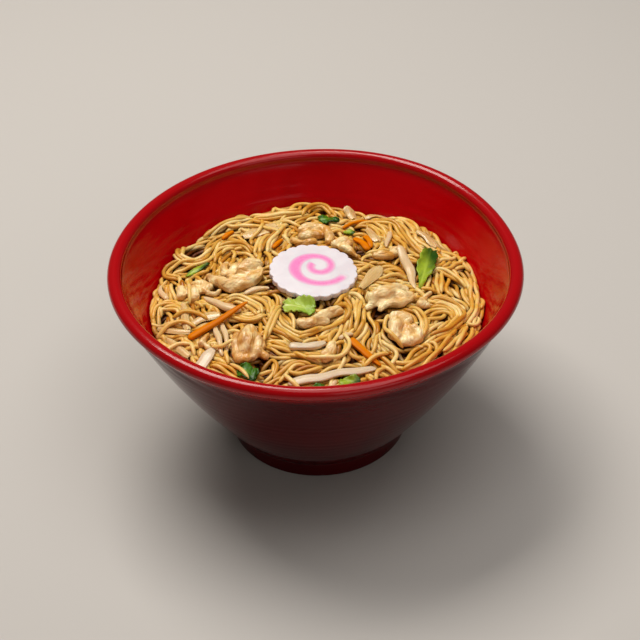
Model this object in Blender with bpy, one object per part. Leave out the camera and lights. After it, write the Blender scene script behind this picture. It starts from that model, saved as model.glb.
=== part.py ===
"""A red glazed bowl of stir-fried ramen: noodles, chicken, vegetables and a slice of fish cake.

Blender 4.5. Units are metres and +Z is up. The origin is on the table, at the centre of the bowl's foot.
The front of the bowl is -Y. The bowl is turned from one profile. The noodles are one solid: a mound that
fills the bowl, with the noodles that lie on top fused to it. Every topping is a solid of its own that
rests on the bare mound.
"""
import math
import random

import bmesh
import bpy
from mathutils import Matrix, Vector, noise

MM = 0.001
GAP = 0.4 * MM
SECTORS = 48
SHARP_ANGLE = math.radians(35)

# The bowl: a plain foot ring, a flaring wall and a thick rolled lip.
BOWL_RADIUS = 0.100
BOWL_HEIGHT = 0.1025
FOOT_RADIUS = 0.0452
FOOT_RING_WIDTH = 0.0042
FOOT_HEIGHT = 0.010
FOOT_FLARE = 0.0012
FOOT_CHAMFER = 0.0007
RECESS_SLOPE = 0.0015
UNDERSIDE_Z = 0.0045
FLOOR_Z = 0.0115
LIP_HALF_WIDTH = 0.0034
LIP_HALF_HEIGHT = 0.0030
LIP_CENTRE_RADIUS = BOWL_RADIUS - LIP_HALF_WIDTH
LIP_DEGREES = (-40, 0, 40, 90, 140, 185)
WALL_START_RADIUS = 0.0474
WALL_END_RADIUS = LIP_CENTRE_RADIUS
WALL_END_Z = 0.0950
WALL_BULGE = 0.0037
WALL_STEPS = 4
WALL_THICKNESS = 0.0046
INNER_WALL_TOP_Z = 0.0945
INNER_WALL_STEPS = 5
CORNER_Z = 0.027
CORNER_RADIUS = 0.022
# The rim was thrown a little out of round: each wave is (waves round the rim, height, phase).
RIM_WAVES = (
    (2, 0.11 * MM, math.radians(147)),
    (3, 0.36 * MM, math.radians(-144)),
    (4, 0.39 * MM, math.radians(-83)),
    (5, 0.30 * MM, math.radians(-107)),
)

# The mound of noodles, as its highest noodles show it.
MOUND_RADIUS = 0.0825
MOUND_EDGE_Z = 0.0755
MOUND_RISE = 0.0095
MOUND_SHOULDER = 0.074
SHOULDER_DROP = 0.0028
MOUND_RINGS = 8
# Below this height the mound's side follows the bowl, with this much room beyond the usual gap.
MOUND_SIDE_Z = 0.0705
MOUND_SIDE_ROOM = 0.0002
MOUND_SIDE_STEP = 0.010
# Places where noodles pile up: (x, y, height, spread).
PILES = (
    (-0.070, 0.042, 0.0032, 0.009),
    (-0.044, 0.066, 0.0026, 0.012),
    (-0.010, 0.075, 0.0044, 0.015),
    (0.040, 0.064, 0.0020, 0.012),
    (0.056, 0.054, 0.0028, 0.009),
    (0.074, 0.026, 0.0018, 0.010),
    (0.058, -0.030, 0.0018, 0.018),
    (-0.016, -0.036, 0.0016, 0.014),
)
NOODLE_RADIUS = 1.35 * MM
NOODLE_SIDES = 4
NOODLE_STEP = 6.0 * MM
NOODLE_PROUD = 0.7 * MM
# The bare mound lies this much lower than the heap: one noodle and the hollow under it.
BARE_DROP = 0.0026

# The slice of fish cake: a scalloped disc with a swirl that runs through it.
SLICE_X = -0.0013
SLICE_Y = 0.0105
SLICE_RADIUS = 0.022
SLICE_THICKNESS = 0.0030
SLICE_SEAT_Z = 0.0838
SLICE_LEAN = math.radians(3.5)
SEAT_MARGIN = 0.001
SEAT_SLOPE = 0.006
SCALLOPS = 22
SCALLOP_DEPTH = 0.0011
SCALLOP_POINTS = 3
SLICE_EDGE = 0.0005
SWIRL_X = 0.0032
SWIRL_Y = 0.0025
SWIRL_OUTER = 0.0135
SWIRL_INNER = 0.0045
SWIRL_START = math.radians(-24)
SWIRL_TURN = math.radians(-565)
SWIRL_HALF_WIDTH = 0.0010
SWIRL_EXTRA_WIDTH = 0.0012
# Along the swirl, from 0 to 1: where its radius starts to shrink, over how much, and where it is widest.
SWIRL_SHRINK_START = 0.15
SWIRL_SHRINK_SPAN = 0.55
SWIRL_WIDEST = 0.28
SWIRL_WIDE_SPAN = 0.10
SWIRL_STEPS = 30
SWIRL_CUT_DEPTH = 0.002
SWIRL_GAP = 0.3 * MM

# Pieces of chicken: name, x, y, length, width, height, heading in degrees, segments.
CHICKEN = (
    ("chicken_left", -0.0395, 0.0163, 0.0290, 0.0205, 0.0082, 8, 14),
    ("chicken_far_left", -0.0580, 0.0065, 0.0190, 0.0120, 0.0065, 10, 10),
    ("chicken_behind_slice", -0.0030, 0.0485, 0.0200, 0.0175, 0.0075, -4, 12),
    ("chicken_behind_right", 0.0144, 0.0372, 0.0140, 0.0105, 0.0070, 60, 10),
    ("chicken_back_right", 0.0362, 0.0310, 0.0155, 0.0095, 0.0060, 6, 10),
    ("chicken_right", 0.0350, -0.0078, 0.0248, 0.0148, 0.0072, 18, 14),
    ("chicken_right_small", 0.0524, -0.0108, 0.0095, 0.0064, 0.0050, 80, 8),
    ("chicken_round", 0.0410, -0.0296, 0.0200, 0.0180, 0.0075, 80, 14),
    ("chicken_front_left", -0.0333, -0.0402, 0.0206, 0.0146, 0.0085, 84, 14),
    ("chicken_below_slice", 0.0026, -0.0254, 0.0235, 0.0104, 0.0065, 27, 12),
    ("chicken_front_small", 0.0055, -0.0456, 0.0120, 0.0068, 0.0055, 66, 8),
    ("chicken_left_small", -0.0533, -0.0322, 0.0115, 0.0074, 0.0050, 78, 8),
)

# How far a piece of chicken swells in and out, and how coarse its lumps are.
CHICKEN_SWELL = 0.30
CHICKEN_SWELL_MOST = 1.12
CHICKEN_LUMPS = 0.40

# Strips: name, kind, width, thickness, then points as (x, y, lift above the mound) in millimetres.
STRIPS = (
    ("sprout_left", "sprout", 4.0, 3.6,
     ((-55, -2.8, 0), (-50.5, -6, 0.3), (-45, -9.5, 0.5), (-39.5, -12, 0))),
    ("sprout_by_leaf", "sprout", 4.2, 3.0,
     ((42, 30, 6.4), (44.4, 24, 4.0), (46.6, 16.5, 0.8), (47.8, 9, 0), (48.6, 1.5, 0))),
    ("stalk_front", "stalk", 5.4, 3.2,
     ((-14, -65.5, 0.5), (-4, -64, 0), (6, -61.3, 0), (16, -58.5, 0), (26, -56.4, 0))),
    ("stalk_middle", "stalk", 4.4, 3.2, ((-14, -41.8, 0), (-6, -42, 0), (1.6, -39.6, 0))),
    ("sprout_upright_a", "sprout", 3.0, 3.0, ((-49.5, -23.5, 0), (-47.6, -30, 0), (-45, -39, 0))),
    ("sprout_upright_b", "sprout", 3.0, 3.0, ((-45.6, -22, 0), (-44, -28, 0), (-42.6, -34.5, 0))),
    ("stalk_front_left", "stalk", 6.0, 3.0, ((-58.5, -48, 0), (-54, -44, 0), (-49.2, -39.8, 0))),
    ("sprout_far_left", "sprout", 3.2, 3.0, ((-78, 17, 2), (-76.6, 11.5, 0.8), (-74.5, 5.5, 0))),
    ("sprout_white", "sprout", 3.2, 3.0, ((8.4, -65.9, 1.6), (6.6, -67.6, 1), (4.6, -70, 0.5))),
    ("sprout_by_slice", "sprout", 3.4, 3.2, ((-36.5, 0, 0), (-31, 3.2, 0.6), (-25.5, 2.6, 0))),
    ("onion_right", "onion", 6.4, 1.8, ((24.6, 5, 0), (28, 12, 0.4), (32, 22, 0))),
    ("onion_back", "onion", 6.0, 1.8, ((54, 56.5, 0), (59, 51, 0.6), (62, 44, 0))),
    ("onion_upright", "onion", 5.0, 2.0, ((20.5, 68, 0), (19, 72, 1.5), (17.5, 75.5, 5))),
    ("onion_back_right", "onion", 4.4, 1.8, ((27.5, 68, 0), (33, 70.5, 1.6), (38.5, 68.5, 0.6))),
    ("onion_back_left", "onion", 10.0, 1.8, ((-36, 52, 0), (-28.5, 56.5, 0.8), (-20.5, 60.5, 0.3))),
    ("onion_left", "onion", 7.5, 1.6, ((-60.5, -12.5, 0), (-56, -15, 0.6), (-51, -15.5, 0))),
    ("onion_far_left", "onion", 5.0, 1.6, ((-67.5, -29, 0), (-65, -33.5, 0.5), (-61.5, -38.5, 0))),
    ("carrot_left", "carrot", 3.2, 2.2,
     ((-61.5, -28, 0), (-53, -22.3, 0.8), (-45, -17, 2.4), (-36, -11.8, 4.2))),
    ("carrot_right", "carrot", 3.4, 2.2,
     ((14.5, -36, 0), (19.5, -41.5, 0.5), (24.5, -47.5, 0.3), (30.5, -53, 0))),
    ("carrot_back", "carrot", 3.0, 2.0, ((20.8, 47.5, 0), (24, 43, 0.5), (26.5, 37.5, 0))),
    ("carrot_thread", "carrot", 1.6, 1.5, ((14.5, 57, 0), (19.5, 61.5, 0.6), (25, 64, 0.6), (31, 64.5, 0))),
    ("carrot_far_left", "carrot", 2.4, 1.8, ((-48, 52, 0), (-45, 55, 0.2), (-42, 57.5, 0))),
    ("carrot_by_slice", "carrot", 2.2, 1.8, ((-21.5, 37.5, 0), (-18.8, 42, 0.3), (-16.5, 46, 0))),
)
# Each kind's colour, roughness, sides and steps.
STRIP_LOOK = {
    "sprout": ((0.78, 0.62, 0.45), 0.30, 6, 7),
    "stalk": ((0.74, 0.62, 0.40), 0.30, 6, 8),
    "onion": ((0.70, 0.60, 0.36), 0.28, 6, 6),
    "carrot": ((0.62, 0.16, 0.01), 0.35, 4, 6),
}

# Leaves: name, x, y, length, width, heading in degrees, wave height, lift, lift at far end, colour key.
LEAVES = (
    ("leaf_right", 0.0552, 0.0210, 0.0290, 0.0080, 79, 0.0016, 0.0002, 0.0030, "green"),
    ("cabbage_middle", -0.0083, -0.0168, 0.0152, 0.0110, -8, 0.0030, 0.0010, 0.0, "pale_green"),
    ("onion_green_left", -0.0595, 0.0235, 0.0140, 0.0036, 40, 0.0010, 0.0008, 0.0, "green"),
    ("leaf_back", 0.0075, 0.0640, 0.0105, 0.0062, 2, 0.0018, 0.0006, 0.0, "dark_green"),
    ("leaf_front_left", -0.0325, -0.0575, 0.0105, 0.0078, -42, 0.0024, 0.0006, 0.0, "dark_green"),
    ("leaf_front", 0.0000, -0.0690, 0.0072, 0.0046, 5, 0.0016, 0.0004, 0.0, "dark_green"),
    ("cabbage_front", 0.0142, -0.0654, 0.0100, 0.0054, 12, 0.0020, 0.0006, 0.0, "green"),
    ("leaf_chip_back", 0.0178, 0.0508, 0.0056, 0.0040, 10, 0.0010, 0.0006, 0.0, "green"),
)
LEAF_THICKNESS = 0.0009
LEAF_LONG_STEP = 0.0030
LEAF_WIDE_STEP = 0.0026
LEAF_END_WIDTH = 0.20
LEAF_COLOURS = {
    "green": (0.10, 0.26, 0.02),
    "pale_green": (0.36, 0.50, 0.12),
    "dark_green": (0.02, 0.12, 0.01),
}

# How the noodles on top lie: round the bowl near its wall, from left to right in the middle,
# and round these swirls. Each swirl is (x, y, reach, turn), and a positive turn runs anticlockwise.
SWIRLS = (
    (0.048, -0.016, 0.030, 1.8),
    (-0.062, 0.048, 0.013, -2.2),
    (-0.068, 0.026, 0.011, 1.8),
    (-0.070, -0.008, 0.013, 1.6),
    (-0.018, -0.052, 0.020, -1.6),
    (0.028, 0.058, 0.016, -1.2),
)
MIDDLE_FLOW = 0.6
FLOW_WANDER = math.radians(30)
FLOW_GRAIN = 24.0
NOODLE_CLEAR = 1.75 * MM
NOODLE_REACH = 0.0785
NOODLE_LONGEST = 95 * MM
NOODLE_PASSES = (60 * MM, 38 * MM, 22 * MM, 16 * MM, 11 * MM)
NOODLE_APART = 4.0 * MM
NOODLES_SHOWN = 128
STRAYS_SHOWN = 11
START_PITCH = 3.6 * MM
STRAY_LIFT = 1.9 * MM
STRAY_LENGTH = 34 * MM
STRAY_DEGREES = (50, 80)
SWAY = 0.3 * MM
SEED = 11


def clear_scene():
    for old in list(bpy.data.objects):
        bpy.data.objects.remove(old, do_unlink=True)


def material(name, colour, roughness):
    made = bpy.data.materials.new(name)
    made.use_nodes = True
    shader = made.node_tree.nodes["Principled BSDF"]
    shader.inputs["Base Color"].default_value = (*colour, 1.0)
    shader.inputs["Roughness"].default_value = roughness
    shader.inputs["Metallic"].default_value = 0.0
    made.diffuse_color = (*colour, 1.0)
    return made


def add_object(name, mesh_data, look):
    """Puts a bmesh into the scene as one named object with its own material."""
    bmesh.ops.recalc_face_normals(mesh_data, faces=mesh_data.faces)
    mesh = bpy.data.meshes.new(name)
    mesh_data.to_mesh(mesh)
    mesh_data.free()
    mesh.materials.append(look)
    mesh.shade_smooth()
    mesh.set_sharp_from_angle(angle=SHARP_ANGLE)
    made = bpy.data.objects.new(name, mesh)
    bpy.context.scene.collection.objects.link(made)
    return made


def smoothstep(value):
    t = min(max(value, 0.0), 1.0)
    return t * t * (3.0 - 2.0 * t)


# Bowl

def outer_radius(z):
    """Radius of the bowl's outer wall at height z: a flare with a slight outward bulge."""
    s = min(max((z - FOOT_HEIGHT) / (WALL_END_Z - FOOT_HEIGHT), 0.0), 1.05)
    return WALL_START_RADIUS + (WALL_END_RADIUS - WALL_START_RADIUS) * s + WALL_BULGE * 4.0 * s * (1.0 - s)


def inner_radius(z):
    return outer_radius(z) - WALL_THICKNESS


def out_of_round(angle, z):
    """How far the wall leaves a true circle, fading to nothing at the foot."""
    share = z / BOWL_HEIGHT
    return share * sum(height * math.cos(waves * angle - phase) for waves, height, phase in RIM_WAVES)


def turn(profile, sectors=SECTORS):
    """Turns a profile of (radius, z), which starts and ends on the axis, into a closed mesh."""
    mesh_data = bmesh.new()
    rings = []
    for radius, z in profile:
        if radius == 0.0:
            rings.append([mesh_data.verts.new((0.0, 0.0, z))])
            continue
        ring = []
        for k in range(sectors):
            angle = 2.0 * math.pi * k / sectors
            r = radius + out_of_round(angle, z)
            ring.append(mesh_data.verts.new((r * math.cos(angle), r * math.sin(angle), z)))
        rings.append(ring)
    bridge(mesh_data, rings)
    return mesh_data


def bridge(mesh_data, rings):
    """Joins neighbouring rings of vertices with faces; a ring of one vertex is a pole."""
    for low, high in zip(rings, rings[1:]):
        count = max(len(low), len(high))
        for k in range(count):
            after = (k + 1) % count
            corners = [low[k % len(low)], low[after % len(low)], high[after % len(high)], high[k % len(high)]]
            unique = list(dict.fromkeys(corners))
            mesh_data.faces.new(unique)


def inner_profile():
    """The bowl's inside from under the lip to the centre of its floor."""
    points = []
    for step in range(INNER_WALL_STEPS + 1):
        z = INNER_WALL_TOP_Z + (CORNER_Z - INNER_WALL_TOP_Z) * step / INNER_WALL_STEPS
        points.append((inner_radius(z), z))
    corner_span = inner_radius(CORNER_Z) - CORNER_RADIUS
    for step in (1, 2):
        angle = math.radians(45 * step)
        radius = CORNER_RADIUS + corner_span * math.cos(angle)
        points.append((radius, CORNER_Z - (CORNER_Z - FLOOR_Z) * math.sin(angle)))
    points.append((0.0, FLOOR_Z))
    return points


def bowl():
    """One turned piece: foot ring, outer wall, rolled lip and inside."""
    ring_inner = FOOT_RADIUS - FOOT_RING_WIDTH
    profile = [
        (0.0, UNDERSIDE_Z),
        (ring_inner - RECESS_SLOPE, UNDERSIDE_Z),
        (ring_inner, 0.0),
        (FOOT_RADIUS - FOOT_CHAMFER, 0.0),
        (FOOT_RADIUS, FOOT_CHAMFER),
        (FOOT_RADIUS + FOOT_FLARE, FOOT_HEIGHT - FOOT_CHAMFER),
    ]
    for step in range(WALL_STEPS + 1):
        z = FOOT_HEIGHT + (WALL_END_Z - FOOT_HEIGHT) * step / WALL_STEPS
        profile.append((outer_radius(z), z))
    lip_z = BOWL_HEIGHT - LIP_HALF_HEIGHT
    for degrees in LIP_DEGREES:
        angle = math.radians(degrees)
        radius = LIP_CENTRE_RADIUS + LIP_HALF_WIDTH * math.cos(angle)
        profile.append((radius, lip_z + LIP_HALF_HEIGHT * math.sin(angle)))
    profile.extend(inner_profile())
    add_object("bowl", turn(profile), material("red_glaze", (0.42, 0.004, 0.012), 0.12))


# Mound of noodles

def mound_top(x, y):
    """Height of the highest noodles at (x, y)."""
    r = math.hypot(x, y)
    z = MOUND_EDGE_Z + MOUND_RISE * (1.0 - (r / MOUND_RADIUS) ** 2)
    for px, py, height, spread in PILES:
        z += height * math.exp(-((x - px) ** 2 + (y - py) ** 2) / spread ** 2)
    return z


def slice_plane(x):
    return SLICE_SEAT_Z - math.tan(SLICE_LEAN) * (x - SLICE_X)


def ground(x, y):
    """Height of the bare mound, on which every topping rests."""
    r = math.hypot(x, y)
    drop = SHOULDER_DROP * smoothstep((r - MOUND_SHOULDER) / (MOUND_RADIUS - MOUND_SHOULDER))
    bare = mound_top(x, y) - BARE_DROP - drop
    away = math.hypot(x - SLICE_X, y - SLICE_Y)
    seat = 1.0 - smoothstep((away - SLICE_RADIUS + SEAT_MARGIN) / SEAT_SLOPE)
    return bare + (slice_plane(x) - bare) * seat


def mound():
    """The core: its top follows the bare mound, its side and bottom the bowl's inside."""
    mesh_data = bmesh.new()
    rim_radius = inner_radius(MOUND_SIDE_Z) - GAP - MOUND_SIDE_ROOM
    rings = [[mesh_data.verts.new((0.0, 0.0, ground(0.0, 0.0)))]]
    for step in range(1, MOUND_RINGS + 1):
        ring = []
        for k in range(SECTORS):
            angle = 2.0 * math.pi * k / SECTORS
            r = (rim_radius + out_of_round(angle, MOUND_SIDE_Z)) * step / MOUND_RINGS
            x = r * math.cos(angle)
            y = r * math.sin(angle)
            ring.append(mesh_data.verts.new((x, y, ground(x, y))))
        rings.append(ring)
    for radius, z in inner_profile()[::2]:
        if z > MOUND_SIDE_Z - MOUND_SIDE_STEP:
            continue
        if radius == 0.0:
            rings.append([mesh_data.verts.new((0.0, 0.0, z + GAP))])
            continue
        ring = []
        for k in range(SECTORS):
            angle = 2.0 * math.pi * k / SECTORS
            r = radius - GAP + out_of_round(angle, z)
            ring.append(mesh_data.verts.new((r * math.cos(angle), r * math.sin(angle), z + 0.5 * GAP)))
        rings.append(ring)
    bridge(mesh_data, rings)
    return mesh_data


# Toppings

def footprint_of_strip(points, width):
    """Circles along a strip, as (x, y, radius), that noodles keep clear of."""
    spots = []
    for start, end in zip(points, points[1:]):
        for step in range(5):
            t = step / 5
            spots.append((start[0] + (end[0] - start[0]) * t, start[1] + (end[1] - start[1]) * t, width / 2))
    spots.append((points[-1][0], points[-1][1], width / 2))
    return spots


def footprint_of_oval(x, y, length, width, heading):
    """Circles along an oval piece, as (x, y, radius)."""
    spots = []
    reach = (length - width) / 2
    for step in range(5):
        along = reach * (step - 2) / 2
        spots.append((x + along * math.cos(heading), y + along * math.sin(heading), width / 2))
    return spots


def chicken(name, x, y, length, width, height, heading_degrees, segments, look):
    """A torn piece of chicken: a lumpy oval whose underside follows the mound."""
    mesh_data = bmesh.new()
    bmesh.ops.create_uvsphere(mesh_data, u_segments=segments, v_segments=segments // 2 + 1, radius=1.0)
    heading = math.radians(heading_degrees)
    seed = Vector((x * 400, y * 400, length * 900))
    for vert in mesh_data.verts:
        unit = vert.co.copy()
        swell = min(1.0 + CHICKEN_SWELL * noise.noise(seed + unit * 1.3), CHICKEN_SWELL_MOST)
        along = unit.x * length / 2 * swell
        across = unit.y * width / 2 * swell
        thick = height * (0.86 + CHICKEN_LUMPS * noise.noise(seed * 0.5 + unit * 1.8))
        px = x + along * math.cos(heading) - across * math.sin(heading)
        py = y + along * math.sin(heading) + across * math.cos(heading)
        vert.co = (px, py, ground(px, py) + GAP + thick * (0.5 + 0.5 * unit.z))
    add_object(name, mesh_data, look)
    return footprint_of_oval(x, y, length * 1.08, width * 1.08, heading)


def curve_through(points, count):
    """Points on a smooth curve (Catmull-Rom) through a few chosen points."""
    ends = [points[0] * 2 - points[1]] + points + [points[-1] * 2 - points[-2]]
    spans = len(points) - 1
    made = []
    for step in range(count):
        place = spans * step / (count - 1)
        k = min(int(place), spans - 1)
        t = place - k
        p0, p1, p2, p3 = ends[k:k + 4]
        made.append(0.5 * (2 * p1 + (p2 - p0) * t + (2 * p0 - 5 * p1 + 4 * p2 - p3) * t ** 2
                           + (3 * p1 - p0 - 3 * p2 + p3) * t ** 3))
    return made


def tube(mesh_data, centres, half_width, half_height, sides, twist=0.0, taper=0.0):
    """Sweeps an oval of few sides along the centres and closes both ends with a point."""
    rings = []
    last = len(centres) - 1
    for k, centre in enumerate(centres):
        ahead = centres[min(k + 1, last)] - centres[max(k - 1, 0)]
        side = Vector((-ahead.y, ahead.x, 0.0)).normalized()
        up = side.cross(ahead).normalized() * -1.0
        share = 1.0 - taper * (2.0 * k / last - 1.0) ** 4
        ring = []
        for n in range(sides):
            angle = 2.0 * math.pi * (n + 0.5) / sides + twist
            offset = side * (math.cos(angle) * half_width) + up * (math.sin(angle) * half_height)
            ring.append(mesh_data.verts.new(centre + offset * share))
        rings.append(ring)
    for end, ring in ((0, rings[0]), (last, rings[-1])):
        inward = centres[min(end + 1, last)] - centres[max(end - 1, 0)]
        outward = inward.normalized() * (0.5 * half_height) * (-1.0 if end == 0 else 1.0)
        rings.insert(0 if end == 0 else len(rings), [mesh_data.verts.new(centres[end] + outward)])
    bridge(mesh_data, rings)


def strip(name, kind, width, thickness, points, looks):
    """A sprout, stalk, onion or carrot strip that lies on the mound."""
    sides, steps = STRIP_LOOK[kind][2:]
    width *= MM
    thickness *= MM
    route = curve_through([Vector(p) * MM for p in points], steps)
    half = thickness / 2
    centres = [Vector((p.x, p.y, ground(p.x, p.y) + GAP + half * 1.06 + p.z)) for p in route]
    mesh_data = bmesh.new()
    twist = 0.0 if kind == "carrot" else 0.3
    stretch = 1.0 / math.cos(math.pi / sides) if kind == "carrot" else 1.0
    tube(mesh_data, centres, width / 2 * stretch, half * stretch, sides, twist if sides > 4 else 0.0, 0.45)
    add_object(name, mesh_data, looks[kind])
    return footprint_of_strip([(p.x, p.y) for p in route], width)


def leaf(name, x, y, length, width, heading_degrees, wave, lift, far_lift, look):
    """A thin wavy leaf: two faces with the same triangles, joined round the edge."""
    heading = math.radians(heading_degrees)
    long_steps = max(4, round(length / LEAF_LONG_STEP))
    wide_steps = max(2, round(width / LEAF_WIDE_STEP))
    mesh_data = bmesh.new()
    faces = []
    for top in (0.0, LEAF_THICKNESS):
        rows = []
        for i in range(long_steps + 1):
            u = 2.0 * i / long_steps - 1.0
            taper = math.sqrt(max(1.0 - abs(u) ** 2.6, 0.0)) * (1.0 - LEAF_END_WIDTH) + LEAF_END_WIDTH
            row = []
            for j in range(wide_steps + 1):
                v = 2.0 * j / wide_steps - 1.0
                along = u * length / 2
                across = v * width / 2 * taper
                px = x + along * math.cos(heading) - across * math.sin(heading)
                py = y + along * math.sin(heading) + across * math.cos(heading)
                bend = wave * (0.5 + 0.5 * math.sin(3.4 * u + 2.1 * v + x * 300)) * (0.4 + 0.6 * v * v)
                rise = lift + far_lift * smoothstep((u + 1.0) / 2.0)
                row.append(mesh_data.verts.new((px, py, ground(px, py) + GAP + rise + bend + top)))
            rows.append(row)
        faces.append(rows)
        for i in range(long_steps):
            for j in range(wide_steps):
                a, b, c, d = rows[i][j], rows[i + 1][j], rows[i + 1][j + 1], rows[i][j + 1]
                mesh_data.faces.new((a, b, c))
                mesh_data.faces.new((a, c, d))
    edges = []
    for rows in faces:
        rim = [row[0] for row in rows[:-1]]
        rim += rows[-1][:-1]
        rim += [row[-1] for row in reversed(rows[1:])]
        rim += list(reversed(rows[0][1:]))
        edges.append(rim)
    bridge(mesh_data, edges)
    add_object(name, mesh_data, look)
    return footprint_of_oval(x, y, length, width, heading)


# Slice of fish cake

def scalloped_edge(shrink):
    """The outline of the slice, with rounded lobes and narrow notches."""
    points = []
    count = SCALLOPS * SCALLOP_POINTS
    for k in range(count):
        angle = 2.0 * math.pi * k / count
        lobe = abs(math.sin(SCALLOPS * angle / 2.0)) ** 0.7
        r = SLICE_RADIUS - SCALLOP_DEPTH * (1.0 - lobe) - shrink
        points.append((r * math.cos(angle), r * math.sin(angle)))
    return points


def swirl_band(clearance):
    """The outline of the swirl: a spiral band that is widest on its left side."""
    left = []
    right = []
    for step in range(SWIRL_STEPS + 1):
        t = step / SWIRL_STEPS
        angle = SWIRL_START + SWIRL_TURN * t
        shrink = smoothstep((t - SWIRL_SHRINK_START) / SWIRL_SHRINK_SPAN)
        r = SWIRL_OUTER + (SWIRL_INNER - SWIRL_OUTER) * shrink
        wide = SWIRL_EXTRA_WIDTH * math.exp(-((t - SWIRL_WIDEST) / SWIRL_WIDE_SPAN) ** 2)
        half = SWIRL_HALF_WIDTH + wide - clearance
        end_cut = clearance / r * (1 if step == 0 else -1 if step == SWIRL_STEPS else 0)
        angle -= end_cut
        for side, outline in ((half, left), (-half, right)):
            x = SWIRL_X + (r + side) * math.cos(angle)
            y = SWIRL_Y + (r + side) * math.sin(angle)
            outline.append((x, y))
    return left + list(reversed(right))


def slab(outlines):
    """A closed solid from stacked outlines (points, z) in the slice's own flat frame."""
    mesh_data = bmesh.new()
    rings = []
    for points, z in outlines:
        rings.append([mesh_data.verts.new((px, py, z)) for px, py in points])
    bridge(mesh_data, rings)
    mesh_data.faces.new(rings[0])
    mesh_data.faces.new(rings[-1])
    return mesh_data


def seat_slice(made):
    """Lays a piece modelled round its own origin on the slice's seat, with its right side lower."""
    made.location = (SLICE_X, SLICE_Y, SLICE_SEAT_Z + GAP)
    made.rotation_euler = (0.0, SLICE_LEAN, 0.0)


def fish_cake():
    body = slab([
        (scalloped_edge(SLICE_EDGE), 0.0),
        (scalloped_edge(0.0), SLICE_EDGE),
        (scalloped_edge(0.0), SLICE_THICKNESS - SLICE_EDGE),
        (scalloped_edge(SLICE_EDGE), SLICE_THICKNESS),
    ])
    cake = add_object("fish_cake_slice", body, material("fish_cake", (0.80, 0.74, 0.70), 0.35))
    cutter = add_object("swirl_cutter", slab([
        (swirl_band(0.0), -SWIRL_CUT_DEPTH),
        (swirl_band(0.0), SLICE_THICKNESS + SWIRL_CUT_DEPTH),
    ]), material("swirl_cutter", (1.0, 1.0, 1.0), 0.5))
    cut = cake.modifiers.new("swirl", "BOOLEAN")
    cut.operation = "DIFFERENCE"
    cut.object = cutter
    with bpy.context.temp_override(object=cake, active_object=cake, selected_objects=[cake]):
        bpy.ops.object.modifier_apply(modifier=cut.name)
    bpy.data.objects.remove(cutter, do_unlink=True)
    swirl = add_object("fish_cake_swirl", slab([
        (swirl_band(SWIRL_GAP), 0.0),
        (swirl_band(SWIRL_GAP), SLICE_THICKNESS),
    ]), material("fish_cake_pink", (0.93, 0.22, 0.50), 0.35))
    seat_slice(cake)
    seat_slice(swirl)
    return [(SLICE_X, SLICE_Y, SLICE_RADIUS)]


# Noodles on the mound

def flow(point, turned):
    """The direction in which noodles lie at a point, turned by a fixed angle for strays."""
    r = point.length
    near_wall = smoothstep(r / MOUND_RADIUS)
    along = Vector((-point.y, point.x)) * (near_wall / max(r, MM))
    along -= Vector((1.0, -0.25)) * (MIDDLE_FLOW * (1.0 - near_wall))
    for x, y, reach, turn_way in SWIRLS:
        away = point - Vector((x, y))
        pull = turn_way * math.exp(-(away.length / reach) ** 2)
        along += Vector((-away.y, away.x)).normalized() * pull
    wander = FLOW_WANDER * noise.noise(Vector((point.x * FLOW_GRAIN, point.y * FLOW_GRAIN, 0.5)))
    along.rotate(Matrix.Rotation(wander + turned, 2))
    return along.normalized()


def trace(start, longest, turned, blocked):
    """Follows the flow both ways from a point, until something is in the way."""
    halves = []
    for way in (1.0, -1.0):
        point = start
        half = []
        while len(half) * NOODLE_STEP < longest / 2:
            point = point + flow(point, turned) * (NOODLE_STEP * way)
            if blocked(point):
                break
            half.append(point)
        halves.append(half)
    return list(reversed(halves[1])) + [start] + halves[0]


def noodle_routes(spots):
    """Routes of the top noodles, longest first and evenly spread, and then the strays across them."""
    draw = random.Random(SEED)
    kept = []

    def covered(point):
        beside = any(math.hypot(point.x - x, point.y - y) < r + NOODLE_CLEAR for x, y, r in spots)
        return beside or point.length > NOODLE_REACH

    def crowded(point):
        return covered(point) or any((point - other).length < NOODLE_APART for run in kept for other in run)

    reach = round(MOUND_RADIUS / START_PITCH)
    starts = []
    for i in range(-reach, reach + 1):
        for j in range(-reach, reach + 1):
            starts.append(Vector((i + draw.uniform(-0.4, 0.4), j + draw.uniform(-0.4, 0.4))) * START_PITCH)
    draw.shuffle(starts)
    for shortest in NOODLE_PASSES:
        for start in starts:
            if len(kept) == NOODLES_SHOWN or crowded(start):
                continue
            run = trace(start, NOODLE_LONGEST, 0.0, crowded)
            if (len(run) - 1) * NOODLE_STEP >= shortest:
                kept.append(run)
    strays = []
    for start in starts:
        if len(strays) == STRAYS_SHOWN or covered(start):
            continue
        if any((start - other[0]).length < STRAY_LENGTH / 2 for other in strays):
            continue
        run = trace(start, STRAY_LENGTH, math.radians(draw.uniform(*STRAY_DEGREES)), covered)
        if (len(run) - 1) * NOODLE_STEP >= 0.8 * STRAY_LENGTH:
            strays.append(run)
    return kept, strays


def top_noodle(run, lift, draw):
    """The mesh of one noodle: square, as cut, and dipping into the mound at both ends."""
    phase = draw.uniform(0.0, 2.0 * math.pi)
    centres = []
    for n, point in enumerate(run):
        sway = SWAY * math.sin(0.9 * n + phase)
        centres.append(Vector((point.x, point.y, ground(point.x, point.y) + NOODLE_PROUD + lift + sway)))
    dip = 1.2 * NOODLE_RADIUS + lift
    centres[0].z -= dip
    centres[-1].z -= dip
    mesh_data = bmesh.new()
    tube(mesh_data, centres, NOODLE_RADIUS, NOODLE_RADIUS, NOODLE_SIDES, draw.uniform(-0.35, 0.35))
    return mesh_data


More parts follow.
